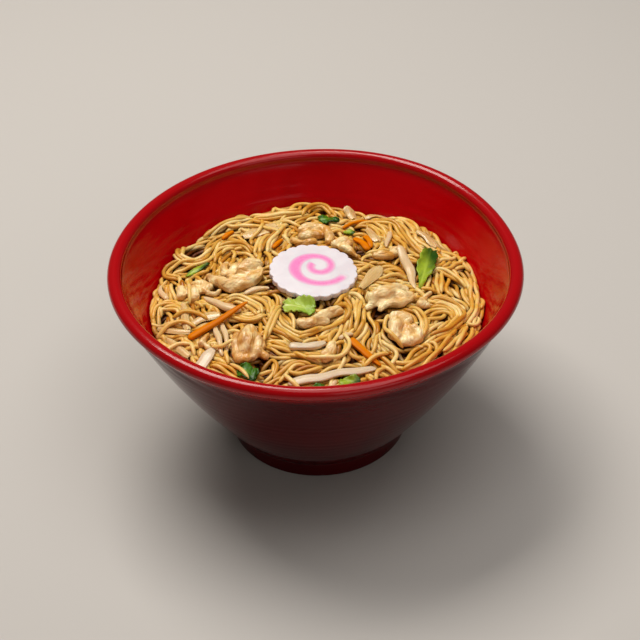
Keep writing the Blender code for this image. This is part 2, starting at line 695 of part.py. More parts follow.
def noodles(spots):
    """The mound with its top noodles, joined into one closed solid."""
    look = material("noodle", (0.62, 0.33, 0.09), 0.32)
    core = add_object("noodles", mound(), look)
    loose = bpy.data.collections.new("top_noodles")
    bpy.context.scene.collection.children.link(loose)
    draw = random.Random(SEED + 1)
    laid, strays = noodle_routes(spots)
    for k, run in enumerate(laid + strays):
        lift = STRAY_LIFT if k >= len(laid) else 0.0
        piece = add_object(f"top_noodle_{k:02d}", top_noodle(run, lift, draw), look)
        bpy.context.scene.collection.objects.unlink(piece)
        loose.objects.link(piece)
    join = core.modifiers.new("join", "BOOLEAN")
    join.operation = "UNION"
    join.operand_type = "COLLECTION"
    join.collection = loose
    join.solver = "MANIFOLD"
    with bpy.context.temp_override(object=core, active_object=core, selected_objects=[core]):
        bpy.ops.object.modifier_apply(modifier=join.name)
    for piece in list(loose.objects):
        bpy.data.objects.remove(piece, do_unlink=True)
    bpy.data.collections.remove(loose)
    keep_largest_shell(core)
    core.data.set_sharp_from_angle(angle=SHARP_ANGLE)


def keep_largest_shell(made):
    """Drops loose scraps and the inner walls of sealed hollows, so that one closed skin is left."""
    mesh_data = bmesh.new()
    mesh_data.from_mesh(made.data)
    left = set(mesh_data.verts)
    shells = []
    while left:
        shell = set()
        edge = [left.pop()]
        while edge:
            vert = edge.pop()
            shell.add(vert)
            for link in vert.link_edges:
                other = link.other_vert(vert)
                if other in left:
                    left.remove(other)
                    edge.append(other)
        shells.append(shell)
    shells.sort(key=len, reverse=True)
    for shell in shells[1:]:
        bmesh.ops.delete(mesh_data, geom=list(shell), context="VERTS")
    mesh_data.to_mesh(made.data)
    mesh_data.free()


def main():
    clear_scene()
    bowl()
    spots = fish_cake()
    meat = material("chicken", (0.66, 0.42, 0.20), 0.40)
    for name, x, y, length, width, height, heading, segments in CHICKEN:
        spots += chicken(name, x, y, length, width, height, heading, segments, meat)
    looks = {kind: material(kind, look[0], look[1]) for kind, look in STRIP_LOOK.items()}
    for name, kind, width, thickness, points in STRIPS:
        spots += strip(name, kind, width, thickness, points, looks)
    greens = {key: material(key, colour, 0.35) for key, colour in LEAF_COLOURS.items()}
    for name, x, y, length, width, heading, wave, lift, far_lift, key in LEAVES:
        spots += leaf(name, x, y, length, width, heading, wave, lift, far_lift, greens[key])
    noodles(spots)


main()
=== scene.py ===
# %% [markdown]
# # Stir-fried ramen in a red bowl
# A red glazed bowl holds a heap of stir-fried noodles. Chicken, carrot, sprouts, onion and greens lie on
# the heap, and a slice of fish cake with a pink swirl lies on top. The lesson builds the bowl first, then
# the toppings, and lays the noodles last, because noodles tuck themselves round whatever is there already.
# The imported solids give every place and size. They are loaded first and never moved.

# %% Load the solids
import math
import random

import bmesh
import bpy
import numpy as np
from mathutils import Matrix, Vector, noise
from mathutils.bvhtree import BVHTree


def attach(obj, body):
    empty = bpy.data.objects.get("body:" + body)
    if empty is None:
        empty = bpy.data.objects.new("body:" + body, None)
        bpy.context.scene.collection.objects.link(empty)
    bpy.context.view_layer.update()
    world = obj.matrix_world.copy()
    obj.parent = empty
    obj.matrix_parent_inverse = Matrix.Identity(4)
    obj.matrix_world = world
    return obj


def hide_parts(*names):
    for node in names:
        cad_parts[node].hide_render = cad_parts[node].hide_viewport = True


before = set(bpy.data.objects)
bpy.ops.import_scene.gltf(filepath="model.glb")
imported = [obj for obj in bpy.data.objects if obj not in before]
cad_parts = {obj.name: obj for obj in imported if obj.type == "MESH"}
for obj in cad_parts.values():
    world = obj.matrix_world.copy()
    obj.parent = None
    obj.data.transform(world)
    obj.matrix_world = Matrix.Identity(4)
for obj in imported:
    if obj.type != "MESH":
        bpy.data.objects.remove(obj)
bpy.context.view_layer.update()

# %% [markdown]
# ## Driving dimensions
# The same few sizes that shape the solids shape the finished pieces: the bowl's flare, the height of the
# heap, and the flat seat that the slice of fish cake rests on. Everything is in metres, with +Z up.

# %% Sizes of the bowl and the heap
MM = 0.001
BOWL_RADIUS = 0.100
BOWL_HEIGHT = 0.1025
FOOT_RADIUS = 0.0452
FOOT_RING_WIDTH = 0.0042
FOOT_HEIGHT = 0.010
UNDERSIDE_Z = 0.0045
FLOOR_Z = 0.0115
LIP_HALF_WIDTH = 0.0034
LIP_HALF_HEIGHT = 0.0030
LIP_RADIUS = BOWL_RADIUS - LIP_HALF_WIDTH
WALL_START_RADIUS = 0.0474
WALL_END_Z = 0.0950
WALL_BULGE = 0.0037
WALL_THICKNESS = 0.0046
CORNER_Z = 0.027
CORNER_RADIUS = 0.022
# Each wave of the rim: waves round the rim, height, phase.
RIM_WAVES = (
    (2, 0.11 * MM, math.radians(147)),
    (3, 0.36 * MM, math.radians(-144)),
    (4, 0.39 * MM, math.radians(-83)),
    (5, 0.30 * MM, math.radians(-107)),
)
HEAP_RADIUS = 0.0825
HEAP_EDGE_Z = 0.0755
HEAP_RISE = 0.0095
SHOULDER_RADIUS = 0.074
SHOULDER_DROP = 0.0028
# Places where noodles pile up: x, y, height, spread.
PILES = (
    (-0.070, 0.042, 0.0032, 0.009),
    (-0.044, 0.066, 0.0026, 0.012),
    (-0.010, 0.075, 0.0044, 0.015),
    (0.040, 0.064, 0.0020, 0.012),
    (0.056, 0.054, 0.0028, 0.009),
    (0.074, 0.026, 0.0018, 0.010),
    (0.058, -0.030, 0.0018, 0.018),
    (-0.016, -0.036, 0.0016, 0.014),
)
SEAT_DROP = 0.0026
SLICE_X = -0.0013
SLICE_Y = 0.0105
SLICE_RADIUS = 0.022
SLICE_THICKNESS = 0.0030
SLICE_SEAT_Z = 0.0838
SLICE_LEAN = math.radians(3.5)
GAP = 0.4 * MM


# %% [markdown]
# ## Heights as functions
# A heap of food has no straight edge to measure from, so its height is a function of the place. Every
# topping asks `ground` how high the heap is below it, and so it can't float or sink.

# %% Shapes of the bowl and the heap as functions
def smoothstep(value):
    t = min(max(value, 0.0), 1.0)
    return t * t * (3.0 - 2.0 * t)


def outer_radius(z):
    """Radius of the bowl's outer wall at height z: a flare with a slight outward bulge."""
    s = min(max((z - FOOT_HEIGHT) / (WALL_END_Z - FOOT_HEIGHT), 0.0), 1.05)
    return WALL_START_RADIUS + (LIP_RADIUS - WALL_START_RADIUS) * s + WALL_BULGE * 4.0 * s * (1.0 - s)


def inner_radius(z):
    return outer_radius(z) - WALL_THICKNESS


def out_of_round(angle, z):
    """How far the wall leaves a true circle, fading to nothing at the foot."""
    return z / BOWL_HEIGHT * sum(h * math.cos(n * angle - phase) for n, h, phase in RIM_WAVES)


def heap_top(x, y):
    """Height of the highest noodles at (x, y)."""
    r = math.hypot(x, y)
    z = HEAP_EDGE_Z + HEAP_RISE * (1.0 - (r / HEAP_RADIUS) ** 2)
    for px, py, height, spread in PILES:
        z += height * math.exp(-((x - px) ** 2 + (y - py) ** 2) / spread ** 2)
    return z


def ground(x, y):
    """Height on which a topping rests: one noodle below the heap's top, and flat under the slice."""
    r = math.hypot(x, y)
    drop = SHOULDER_DROP * smoothstep((r - SHOULDER_RADIUS) / (HEAP_RADIUS - SHOULDER_RADIUS))
    bare = heap_top(x, y) - SEAT_DROP - drop
    away = math.hypot(x - SLICE_X, y - SLICE_Y)
    seat = 1.0 - smoothstep((away - SLICE_RADIUS + 0.001) / 0.006)
    plane = SLICE_SEAT_Z - math.tan(SLICE_LEAN) * (x - SLICE_X)
    return bare + (plane - bare) * seat


print("The heap is", round(heap_top(0, 0) * 1000, 1), "mm high in the middle")

# %% [markdown]
# ## Working with operators
# Blender's operators act on whatever is selected. These helpers start each piece from a clean selection,
# and finish it with its place written into its mesh, so that its object sits at the origin.

# %% Helpers for modelling
PIECES = {}


def select_only(*objects):
    if bpy.context.mode != "OBJECT":
        bpy.ops.object.mode_set(mode="OBJECT")
    bpy.ops.object.select_all(action="DESELECT")
    for item in objects:
        item.select_set(True)
    if objects:
        bpy.context.view_layer.objects.active = objects[0]


def edit(item):
    """Goes into edit mode on one object with all of it selected."""
    select_only(item)
    bpy.ops.object.mode_set(mode="EDIT")
    bpy.ops.mesh.select_all(action="SELECT")


def done():
    bpy.ops.object.mode_set(mode="OBJECT")


def new_mesh_object(name, points, faces):
    """A mesh piece from arrays of points and faces."""
    mesh = bpy.data.meshes.new(name)
    mesh.from_pydata(points, [], faces)
    mesh.update()
    item = bpy.data.objects.new(name, mesh)
    bpy.context.scene.collection.objects.link(item)
    return item


def apply_modifier(item, kind, **settings):
    """Adds one modifier, sets it and applies it."""
    modifier = item.modifiers.new(kind.lower(), kind)
    for key, value in settings.items():
        setattr(modifier, key, value)
    select_only(item)
    bpy.ops.object.modifier_apply(modifier=modifier.name)


def paint(item, name, values, kind="FLOAT"):
    """Gives every point of a mesh a number, or a vector, for its material to read."""
    attribute = item.data.attributes.new(name, kind, "POINT")
    flat = np.asarray(values, dtype=np.float32).reshape(-1)
    attribute.data.foreach_set("value" if kind == "FLOAT" else "vector", flat)


def finish_piece(item, name, material, nodes, angle=None):
    """Names a piece, shades it, and hangs it in the frame in place of the solids it stands for."""
    item.name = name
    item.data.name = name
    item.data.materials.clear()
    item.data.materials.append(material)
    select_only(item)
    bpy.ops.object.transform_apply(location=True, rotation=True, scale=True)
    if angle is None:
        bpy.ops.object.shade_smooth()
    else:
        bpy.ops.object.shade_smooth_by_angle(angle=math.radians(angle))
    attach(item, "root")
    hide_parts(*nodes)
    PIECES[name] = item
    return item


# %% [markdown]
# ## Materials
# Food and glaze are never one flat colour. Each material starts from a Principled shader, and a small
# shared node group adds the two things that most of them need: soft patches of colour, and fine relief.

# %% A shared group of nodes
DARKEST = 10 / 255


def rgb(red, green, blue):
    """A colour given as it is seen on a screen, 0 to 255, turned into the linear values of a shader."""
    shares = (red / 255, green / 255, blue / 255)
    return tuple(c / 12.92 if c <= DARKEST else ((c + 0.055) / 1.055) ** 2.4 for c in shares)


def patch_group():
    """Node group: two scales of noise, given as a mask of patches, a mask of specks, and a height."""
    group = bpy.data.node_groups.new("patches", "ShaderNodeTree")
    face = group.interface
    face.new_socket("Vector", in_out="INPUT", socket_type="NodeSocketVector")
    for name, value in (("Patch Scale", 60.0), ("Grain Scale", 600.0)):
        face.new_socket(name, in_out="INPUT", socket_type="NodeSocketFloat").default_value = value
    for name in ("Patches", "Grain", "Height"):
        face.new_socket(name, in_out="OUTPUT", socket_type="NodeSocketFloat")
    add = group.nodes.new
    link = group.links.new
    entry = add("NodeGroupInput")
    leave = add("NodeGroupOutput")
    noises = []
    # Each scale of noise: its size, its settings, and the range of it that becomes the mask.
    for scale, settings, low, high, mask in (
            ("Patch Scale", {"Detail": 3.0, "Distortion": 0.4}, 0.34, 0.66, "Patches"),
            ("Grain Scale", {"Detail": 4.0, "Roughness": 0.6}, 0.35, 0.70, "Grain")):
        texture = add("ShaderNodeTexNoise")
        for socket, value in settings.items():
            texture.inputs[socket].default_value = value
        link(entry.outputs["Vector"], texture.inputs["Vector"])
        link(entry.outputs[scale], texture.inputs["Scale"])
        span = add("ShaderNodeMapRange")
        span.inputs["From Min"].default_value = low
        span.inputs["From Max"].default_value = high
        link(texture.outputs["Fac"], span.inputs["Value"])
        link(span.outputs["Result"], leave.inputs[mask])
        noises.append(texture.outputs["Fac"])
    height = add("ShaderNodeMath")
    height.operation = "MULTIPLY_ADD"
    height.inputs[1].default_value = 1.5
    link(noises[0], height.inputs[0])
    link(noises[1], height.inputs[2])
    link(height.outputs["Value"], leave.inputs["Height"])
    return group


PATCHES = patch_group()
print("Node group", PATCHES.name, "has", len(PATCHES.nodes), "nodes")

# %% A material in a few words
class Look:
    """A Principled material, with short ways to set its sockets and to feed them from nodes."""

    def __init__(self, name, colour, roughness):
        self.material = bpy.data.materials.new(name)
        self.material.use_nodes = True
        self.nodes = self.material.node_tree.nodes
        self.links = self.material.node_tree.links
        self.shader = self.nodes["Principled BSDF"]
        self.fix("Base Color", (*colour, 1.0))
        self.fix("Roughness", roughness)

    def fix(self, socket, value):
        self.shader.inputs[socket].default_value = value

    def feed(self, socket, source):
        self.links.new(source, self.shader.inputs[socket])

    def flesh(self, weight, scale, radius):
        """Light that goes into the food and comes out again beside where it went in."""
        self.fix("Subsurface Weight", weight)
        self.fix("Subsurface Scale", scale)
        self.fix("Subsurface Radius", radius)

    def film(self, weight, roughness):
        """A wet or glassy layer on top."""
        self.fix("Coat Weight", weight)
        self.fix("Coat Roughness", roughness)

    def painted(self, name, output="Fac"):
        """What was painted on the points of the mesh."""
        node = self.nodes.new("ShaderNodeAttribute")
        node.attribute_name = name
        return node.outputs[output]

    def patches(self, patch_scale, grain_scale, vector=None):
        """The outputs of the shared group, on object coordinates unless another vector is given."""
        node = self.nodes.new("ShaderNodeGroup")
        node.node_tree = PATCHES
        node.inputs["Patch Scale"].default_value = patch_scale
        node.inputs["Grain Scale"].default_value = grain_scale
        vector = vector or self.nodes.new("ShaderNodeTexCoord").outputs["Object"]
        self.links.new(vector, node.inputs["Vector"])
        return [node.outputs[name] for name in ("Patches", "Grain", "Height")]

    def mix(self, factor, first, second, mode="MIX"):
        """One colour over another. Each of the three is a value or a socket."""
        node = self.nodes.new("ShaderNodeMix")
        node.data_type = "RGBA"
        node.blend_type = mode
        for socket, value in ((node.inputs[0], factor), (node.inputs[6], first), (node.inputs[7], second)):
            if isinstance(value, bpy.types.NodeSocket):
                self.links.new(value, socket)
            else:
                socket.default_value = (*value, 1.0) if isinstance(value, tuple) else value
        return node.outputs[2]

    def scaled(self, value, low, high):
        """Maps a 0 to 1 value to the range low to high."""
        node = self.nodes.new("ShaderNodeMapRange")
        node.inputs["To Min"].default_value = low
        node.inputs["To Max"].default_value = high
        self.links.new(value, node.inputs["Value"])
        return node.outputs["Result"]

    def bump(self, height, strength, distance):
        node = self.nodes.new("ShaderNodeBump")
        node.inputs["Strength"].default_value = strength
        node.inputs["Distance"].default_value = distance
        self.links.new(height, node.inputs["Height"])
        self.feed("Normal", node.outputs["Normal"])


# %% [markdown]
# ## Floor, light and camera
# The bowl stands on a plain pale floor under soft studio light. The main light hangs behind and above the
# bowl, a little to the left, so that the back of the rim and the tops of the noodles shine and the front
# of the bowl stays in shade. The camera looks down by 36 degrees through a long lens.

# %% Floor
bpy.ops.mesh.primitive_plane_add(size=6.0, location=(0.0, 0.0, 0.0))
floor = bpy.context.active_object
floor.name = "floor"
floor.data.materials.append(Look("floor_matte", (0.56, 0.53, 0.50), 0.85).material)

# %% Soft lights
world = bpy.data.worlds.new("studio")
bpy.context.scene.world = world
world.use_nodes = True
sky = world.node_tree.nodes["Background"]
sky.inputs["Color"].default_value = (1.0, 0.93, 0.84, 1.0)
sky.inputs["Strength"].default_value = 0.10
# Each light: name, place, size across and up, power, colour.
LIGHTS = (
    ("key", (-0.35, 0.48, 1.25), 0.80, 0.55, 15.0, (1.0, 0.96, 0.90)),
    ("top", (0.25, -0.10, 1.30), 0.90, 0.90, 6.0, (1.0, 0.98, 0.95)),
    ("front_fill", (0.55, -1.10, 0.80), 0.80, 0.60, 1.5, (1.0, 0.97, 0.94)),
)
AIM = Vector((0.0, 0.0, 0.07))
for name, place, across, up, power, colour in LIGHTS:
    data = bpy.data.lights.new(name, "AREA")
    data.shape = "RECTANGLE"
    data.size = across
    data.size_y = up
    data.energy = power
    data.color = colour
    light = bpy.data.objects.new(name, data)
    bpy.context.scene.collection.objects.link(light)
    light.location = place
    light.rotation_euler = (AIM - Vector(place)).to_track_quat("-Z", "Y").to_euler()

# %% Camera
CAMERA_ELEVATION = math.radians(35.9)
CAMERA_DISTANCE = 0.750
CAMERA_LENS = 87.5
CAMERA_ROLL = math.radians(-1.4)
IMAGE_SIDE = 640
RIM_CENTRE_PIXEL = (315.4, 257.1)
rim_centre = Vector((0.0, 0.0, BOWL_HEIGHT))
back_to_camera = Vector((0.0, -math.cos(CAMERA_ELEVATION), math.sin(CAMERA_ELEVATION)))
camera_data = bpy.data.cameras.new("camera")
camera = bpy.data.objects.new("camera", camera_data)
bpy.context.scene.collection.objects.link(camera)
camera.location = rim_centre + back_to_camera * CAMERA_DISTANCE
pixel_angle = camera_data.sensor_width / CAMERA_LENS / IMAGE_SIDE
turn_down = (IMAGE_SIDE / 2 - RIM_CENTRE_PIXEL[1]) * pixel_angle
turn_right = (IMAGE_SIDE / 2 - RIM_CENTRE_PIXEL[0]) * pixel_angle
facing = (-back_to_camera).to_track_quat("-Z", "Y").to_matrix()
facing = facing @ Matrix.Rotation(CAMERA_ROLL, 3, "Z")
facing = facing @ Matrix.Rotation(-turn_right, 3, "Y") @ Matrix.Rotation(-turn_down, 3, "X")
camera.rotation_euler = facing.to_euler()
camera_data.lens = CAMERA_LENS
camera_data.clip_start = 0.05
camera_data.clip_end = 20.0
bpy.context.scene.camera = camera
bpy.context.scene.view_settings.view_transform = "Standard"
print("The camera looks", round(math.degrees(turn_down), 2), "degrees below the rim's centre")

# %% [markdown]
# ## The bowl
# A thrown bowl is a turned shape, so one profile is drawn point by point and spun round the axis. The
# profile runs from the middle of the underside, round the foot ring, up the outer wall, over the thick
# rolled lip and down the inside. Throwing leaves faint rings on the wall, and the rim is never quite round.

# %% The bowl's profile
RING_PITCH = 0.0046
RING_DEPTH = 0.00016
SPIN_STEPS = 224
OUTSIDE_ROWS = 56
INSIDE_ROWS = 40


def throwing_ring(z, phase):
    """Shallow grooves left by the potter's fingers, uneven in depth."""
    swell = 0.6 + 0.4 * math.sin(z * 310.0 + phase)
    return RING_DEPTH * swell * math.sin(2.0 * math.pi * z / RING_PITCH + phase)


def arc(centre_r, centre_z, reach_r, reach_z, start, stop, steps):
    points = []
    for k in range(steps + 1):
        angle = math.radians(start + (stop - start) * k / steps)
        points.append((centre_r + reach_r * math.cos(angle), centre_z + reach_z * math.sin(angle)))
    return points


ring_inner = FOOT_RADIUS - FOOT_RING_WIDTH
ring_middle = (ring_inner + FOOT_RADIUS) / 2
profile = [(0.0, UNDERSIDE_Z), (ring_inner - 0.006, UNDERSIDE_Z), (ring_inner - 0.0022, UNDERSIDE_Z - 0.0004)]
profile += [(ring_inner - 0.0006, 0.0014), (ring_inner + 0.0003, 0.0002), (ring_middle, 0.0)]
profile += arc(FOOT_RADIUS - 0.0009, 0.0009, 0.0009, 0.0009, -85, 0, 4)
profile += [(FOOT_RADIUS + 0.0003, 0.0040), (FOOT_RADIUS + 0.0007, 0.0078), (FOOT_RADIUS + 0.0012, 0.0094)]
for k in range(OUTSIDE_ROWS + 1):
    z = FOOT_HEIGHT + 0.0006 + (WALL_END_Z - FOOT_HEIGHT - 0.0014) * k / OUTSIDE_ROWS
    profile.append((outer_radius(z) + 0.4 * throwing_ring(z, 0.7), z))
profile += arc(LIP_RADIUS, BOWL_HEIGHT - LIP_HALF_HEIGHT, LIP_HALF_WIDTH, LIP_HALF_HEIGHT, -62, 205, 20)
wall_top = BOWL_HEIGHT - LIP_HALF_HEIGHT - 0.0026
for k in range(INSIDE_ROWS + 1):
    z = wall_top + (CORNER_Z - wall_top) * k / INSIDE_ROWS
    profile.append((inner_radius(z) + throwing_ring(z, 2.1), z))
profile += arc(CORNER_RADIUS, CORNER_Z, inner_radius(CORNER_Z) - CORNER_RADIUS, FLOOR_Z - CORNER_Z, 15, 90, 5)
profile.append((0.0, FLOOR_Z))
print("The profile has", len(profile), "points")

# %% Spin the profile
bpy.ops.mesh.primitive_plane_add(size=0.002)
bowl = bpy.context.active_object
edit(bowl)
bpy.ops.mesh.merge(type="CENTER")
bpy.ops.transform.translate(value=(profile[0][0], 0.0, profile[0][1]))
for here, there in zip(profile, profile[1:]):
    step = (there[0] - here[0], 0.0, there[1] - here[1])
    bpy.ops.mesh.extrude_region_move(TRANSFORM_OT_translate={"value": step})
bpy.ops.mesh.select_all(action="SELECT")
bpy.ops.mesh.spin(steps=SPIN_STEPS, angle=2.0 * math.pi, center=(0, 0, 0), axis=(0, 0, 1))
bpy.ops.mesh.select_all(action="SELECT")
bpy.ops.mesh.remove_doubles(threshold=0.00001)
bpy.ops.mesh.normals_make_consistent(inside=False)
done()
print("The bowl has", len(bowl.data.polygons), "faces")

# %% Throw it a little out of round
RIPPLE_Z = 0.0905
RIPPLE_SPREAD = 0.0036
RIPPLE_DEPTH = 0.00034


def ripple(angle, z):
    """Wavy finger marks on the outside, just below the lip."""
    fade = math.exp(-((z - RIPPLE_Z) / RIPPLE_SPREAD) ** 2)
    wave = math.sin(9.0 * angle + 1.5 * math.sin(4.0 * angle)) + 0.6 * math.sin(23.0 * angle + z * 900.0)
    return RIPPLE_DEPTH * fade * wave


for vert in bowl.data.vertices:
    x, y, z = vert.co
    r = math.hypot(x, y)
    if r < 0.001:
        continue
    angle = math.atan2(y, x)
    moved = r + out_of_round(angle, z)
    if r > outer_radius(z) - 0.5 * WALL_THICKNESS:
        moved += ripple(angle, z)
    vert.co = (x * moved / r, y * moved / r, z)


# %% [markdown]
# ### Red glaze
# The glaze is a deep red glass over stoneware: sharp reflections, a slight waviness, and a darker tone
# painted on the outside and at the foot as shade. The tone follows the height and the side of the wall.

# %% The glaze's material
LIP_SHADE_START = 0.0050
LIP_SHADE_SOFT = 0.006
LIP_TONE_START = 0.0085
LIP_TONE_SOFT = 0.004


def glaze():
    look = Look("red_glaze", rgb(176, 4, 22), 0.12)
    look.fix("Specular IOR Level", 0.10)
    look.fix("Coat Roughness", 0.17)
    patches, grain, height = look.patches(28.0, 420.0)
    outside = look.painted("outside")
    lip = look.painted("lip")
    film = look.nodes.new("ShaderNodeMath")
    film.operation = "MULTIPLY"
    look.links.new(look.scaled(lip, 0.10, 0.5), film.inputs[0])
    look.links.new(look.scaled(outside, 1.0, 0.1), film.inputs[1])
    look.feed("Coat Weight", film.outputs["Value"])
    tone = look.mix(patches, rgb(178, 0, 6), rgb(192, 2, 12))
    tone = look.mix(lip, tone, rgb(166, 0, 8))
    # Painted shade: the outside and the foot get a darker red than the inside.
    shade_tone = look.mix(patches, rgb(70, 0, 4), rgb(82, 1, 6))
    look.feed("Base Color", look.mix(outside, tone, shade_tone))
    look.feed("Roughness", look.scaled(grain, 0.07, 0.14))
    look.bump(height, 0.10, 0.0006)
    return look.material


# The mask of painted shade: the outer wall below the lip, and the underside.
outside_shade_share = []
lip_share = []
for x, y, z in (vert.co for vert in bowl.data.vertices):
    outer_side = math.hypot(x, y) > outer_radius(z) - 0.5 * WALL_THICKNESS or z < FLOOR_Z
    outside_shade_share.append(outer_side * smoothstep((BOWL_HEIGHT - LIP_SHADE_START - z) / LIP_SHADE_SOFT))
    lip_share.append(smoothstep((z - BOWL_HEIGHT + LIP_TONE_START) / LIP_TONE_SOFT))
paint(bowl, "outside", outside_shade_share)
paint(bowl, "lip", lip_share)
finish_piece(bowl, "bowl_glazed", glaze(), ["bowl"], 60)
print("The outside takes up", round(100 * np.mean(np.array(outside_shade_share) > 0.5)), "% of the bowl's points")

# %% [markdown]
# ## Curves and tubes
# Much of the food is long and bends: folds of chicken, sprouts, noodles and the pink paste in the fish
# cake. These helpers draw a smooth curve through a few chosen points, tell which way it runs, and set a
# ring of points round each place on it, so that one way of joining rings serves for all of them.

# %% Helpers for curves and tubes
def curve_through(points, step):
    """Evenly spaced points on a smooth curve (Catmull-Rom) through a few chosen points."""
    chosen = np.array(points, dtype=float)
    ends = np.vstack([2 * chosen[0] - chosen[1], chosen, 2 * chosen[-1] - chosen[-2]])
    dense = []
    for k in range(len(chosen) - 1):
        p0, p1, p2, p3 = ends[k:k + 4]
        for t in np.linspace(0.0, 1.0, 24, endpoint=False):
            dense.append(0.5 * (2 * p1 + (p2 - p0) * t + (2 * p0 - 5 * p1 + 4 * p2 - p3) * t ** 2
                                + (3 * p1 - p0 - 3 * p2 + p3) * t ** 3))
    dense.append(chosen[-1])
    return even(np.array(dense), step)


def even(points, step):
    """The same route with points a fixed step apart."""
    lengths = np.r_[0.0, np.cumsum(np.linalg.norm(np.diff(points, axis=0), axis=1))]
    wanted = np.linspace(0.0, lengths[-1], max(4, int(round(lengths[-1] / step)) + 1))
    return np.stack([np.interp(wanted, lengths, points[:, k]) for k in range(points.shape[1])], axis=1)


def frame_along(line):
    """For each point of a line: the directions sideways and up."""
    ahead = np.gradient(line, axis=0)
    ahead /= np.linalg.norm(ahead, axis=1)[:, None] + 1e-12
    side = np.stack([-ahead[:, 1], ahead[:, 0], np.zeros(len(line))], axis=1)
    side /= np.linalg.norm(side, axis=1)[:, None] + 1e-12
    return side, np.cross(ahead, side)


def section(sides, power):
    """Angles round a section and its reach there: a circle at power 2, nearly a square at power 4."""
    angle = 2 * np.pi * (np.arange(sides) + 0.5) / sides
    return angle, (np.abs(np.cos(angle)) ** power + np.abs(np.sin(angle)) ** power) ** (-1 / power)


def rings_along(line, across, above):
    """Points of a tube: a ring round each point of its line, from distances across it and above it."""
    side, up = frame_along(line)
    ring = line[:, None, :] + side[:, None, :] * across[:, :, None]
    ring = ring + up[:, None, :] * above[:, :, None]
    return ring.reshape(-1, 3)


def tube_faces(rings, sides, base=0):
    """Faces of a closed tube whose rings of points follow each other."""
    k = np.arange(sides)
    first = base + np.arange(rings - 1)[:, None] * sides + k[None, :]
    second = base + np.arange(rings - 1)[:, None] * sides + (k[None, :] + 1) % sides
    faces = np.stack([first, second, second + sides, first + sides], axis=2).reshape(-1, 4).tolist()
    faces.append(list(range(base + sides - 1, base - 1, -1)))
    faces.append(list(range(base + (rings - 1) * sides, base + rings * sides)))
    return faces


print("A tube of 3 rings with 8 sides has", len(tube_faces(3, 8)), "faces")


# %% [markdown]
# ## The slice of fish cake
# The slice is a thin white disc with a scalloped edge, steamed with a pink paste rolled up in it. A circle
# of many points is drawn out into lobes, extruded to its thickness and bevelled. The pink runs through the
# whole slice, so the swirl is a piece of its own, and its colour fades to white at its edges as the paste
# does.

# %% Scalloped disc
SCALLOPS = 22
SCALLOP_DEPTH = 0.0011
POINTS_PER_SCALLOP = 14
EDGE_ROUND = 0.0009


def seat_slice(item):
    """Lays a piece modelled flat round the origin on the slice's seat, with its right side lower."""
    item.location = (SLICE_X, SLICE_Y, SLICE_SEAT_Z + GAP)
    item.rotation_euler = (0.0, SLICE_LEAN, 0.0)


select_only()
edge_points = SCALLOPS * POINTS_PER_SCALLOP
bpy.ops.mesh.primitive_circle_add(vertices=edge_points, radius=SLICE_RADIUS, fill_type="NGON")
cake = bpy.context.active_object
for vert in cake.data.vertices:
    angle = math.atan2(vert.co.y, vert.co.x)
    lobe = abs(math.sin(SCALLOPS * angle / 2.0)) ** 0.7
    uneven = 0.35 * MM * math.sin(3.0 * angle + 0.8) * math.sin(5.0 * angle)
    r = SLICE_RADIUS - SCALLOP_DEPTH * (1.0 - lobe) - abs(uneven)
    vert.co = (r * math.cos(angle), r * math.sin(angle), 0.0)
edit(cake)
bpy.ops.mesh.extrude_region_move(TRANSFORM_OT_translate={"value": (0.0, 0.0, SLICE_THICKNESS)})
bpy.ops.mesh.select_all(action="SELECT")
bpy.ops.mesh.normals_make_consistent(inside=False)
done()
corner = math.radians(60)
apply_modifier(cake, "BEVEL", width=EDGE_ROUND, segments=4, limit_method="ANGLE", angle_limit=corner)
print("The slice has", len(cake.data.polygons), "faces")

# %% The swirl's path
SWIRL_X = 0.0032
SWIRL_Y = 0.0025
SWIRL_OUTER = 0.0135
SWIRL_INNER = 0.0045
SWIRL_START = math.radians(-24)
SWIRL_TURN = math.radians(-565)
SWIRL_HALF_WIDTH = 0.0010
SWIRL_EXTRA_WIDTH = 0.0012
SWIRL_STEPS = 180
SWIRL_BLUR = 0.0024
SWIRL_LANES = 15
SWIRL_FOOT_Z = 0.0004


def swirl_place(t):
    """Angle, radius and half width of the swirl, t from 0 at its outer end to 1 at its inner end."""
    angle = SWIRL_START + SWIRL_TURN * t
    r = SWIRL_OUTER + (SWIRL_INNER - SWIRL_OUTER) * smoothstep((t - 0.15) / 0.55)
    half = SWIRL_HALF_WIDTH + SWIRL_EXTRA_WIDTH * math.exp(-((t - 0.28) / 0.10) ** 2)
    return angle, r, half


# %% The swirl as a band with soft edges
swirl_points = []
swirl_pink = []
for t in (step / SWIRL_STEPS for step in range(SWIRL_STEPS + 1)):
    angle, r, half = swirl_place(t)
    reach = half + SWIRL_BLUR
    end_fade = smoothstep(min(t, 1.0 - t) / 0.03)
    upper = []
    shades = []
    for lane in range(SWIRL_LANES):
        across = 2.0 * lane / (SWIRL_LANES - 1) - 1.0
        at = r + across * reach
        swell = 0.00006 - 0.00016 * abs(across) ** 3
        x, y = SWIRL_X + at * math.cos(angle), SWIRL_Y + at * math.sin(angle)
        upper.append((x, y, SLICE_THICKNESS + swell))
        shades.append(end_fade * (1.0 - smoothstep((abs(across) * reach - half + 0.0009) / 0.0033)))
    swirl_points += upper + [(x, y, SWIRL_FOOT_Z) for x, y, _ in reversed(upper)]
    swirl_pink += shades + shades[::-1]
swirl = new_mesh_object("swirl", swirl_points, tube_faces(SWIRL_STEPS + 1, 2 * SWIRL_LANES))
paint(swirl, "pink", swirl_pink)
edit(swirl)
bpy.ops.mesh.normals_make_consistent(inside=False)
done()
print("The swirl has", len(swirl.data.polygons), "faces")

# %% White and pink of the slice
CAKE_WHITE = rgb(240, 235, 236)


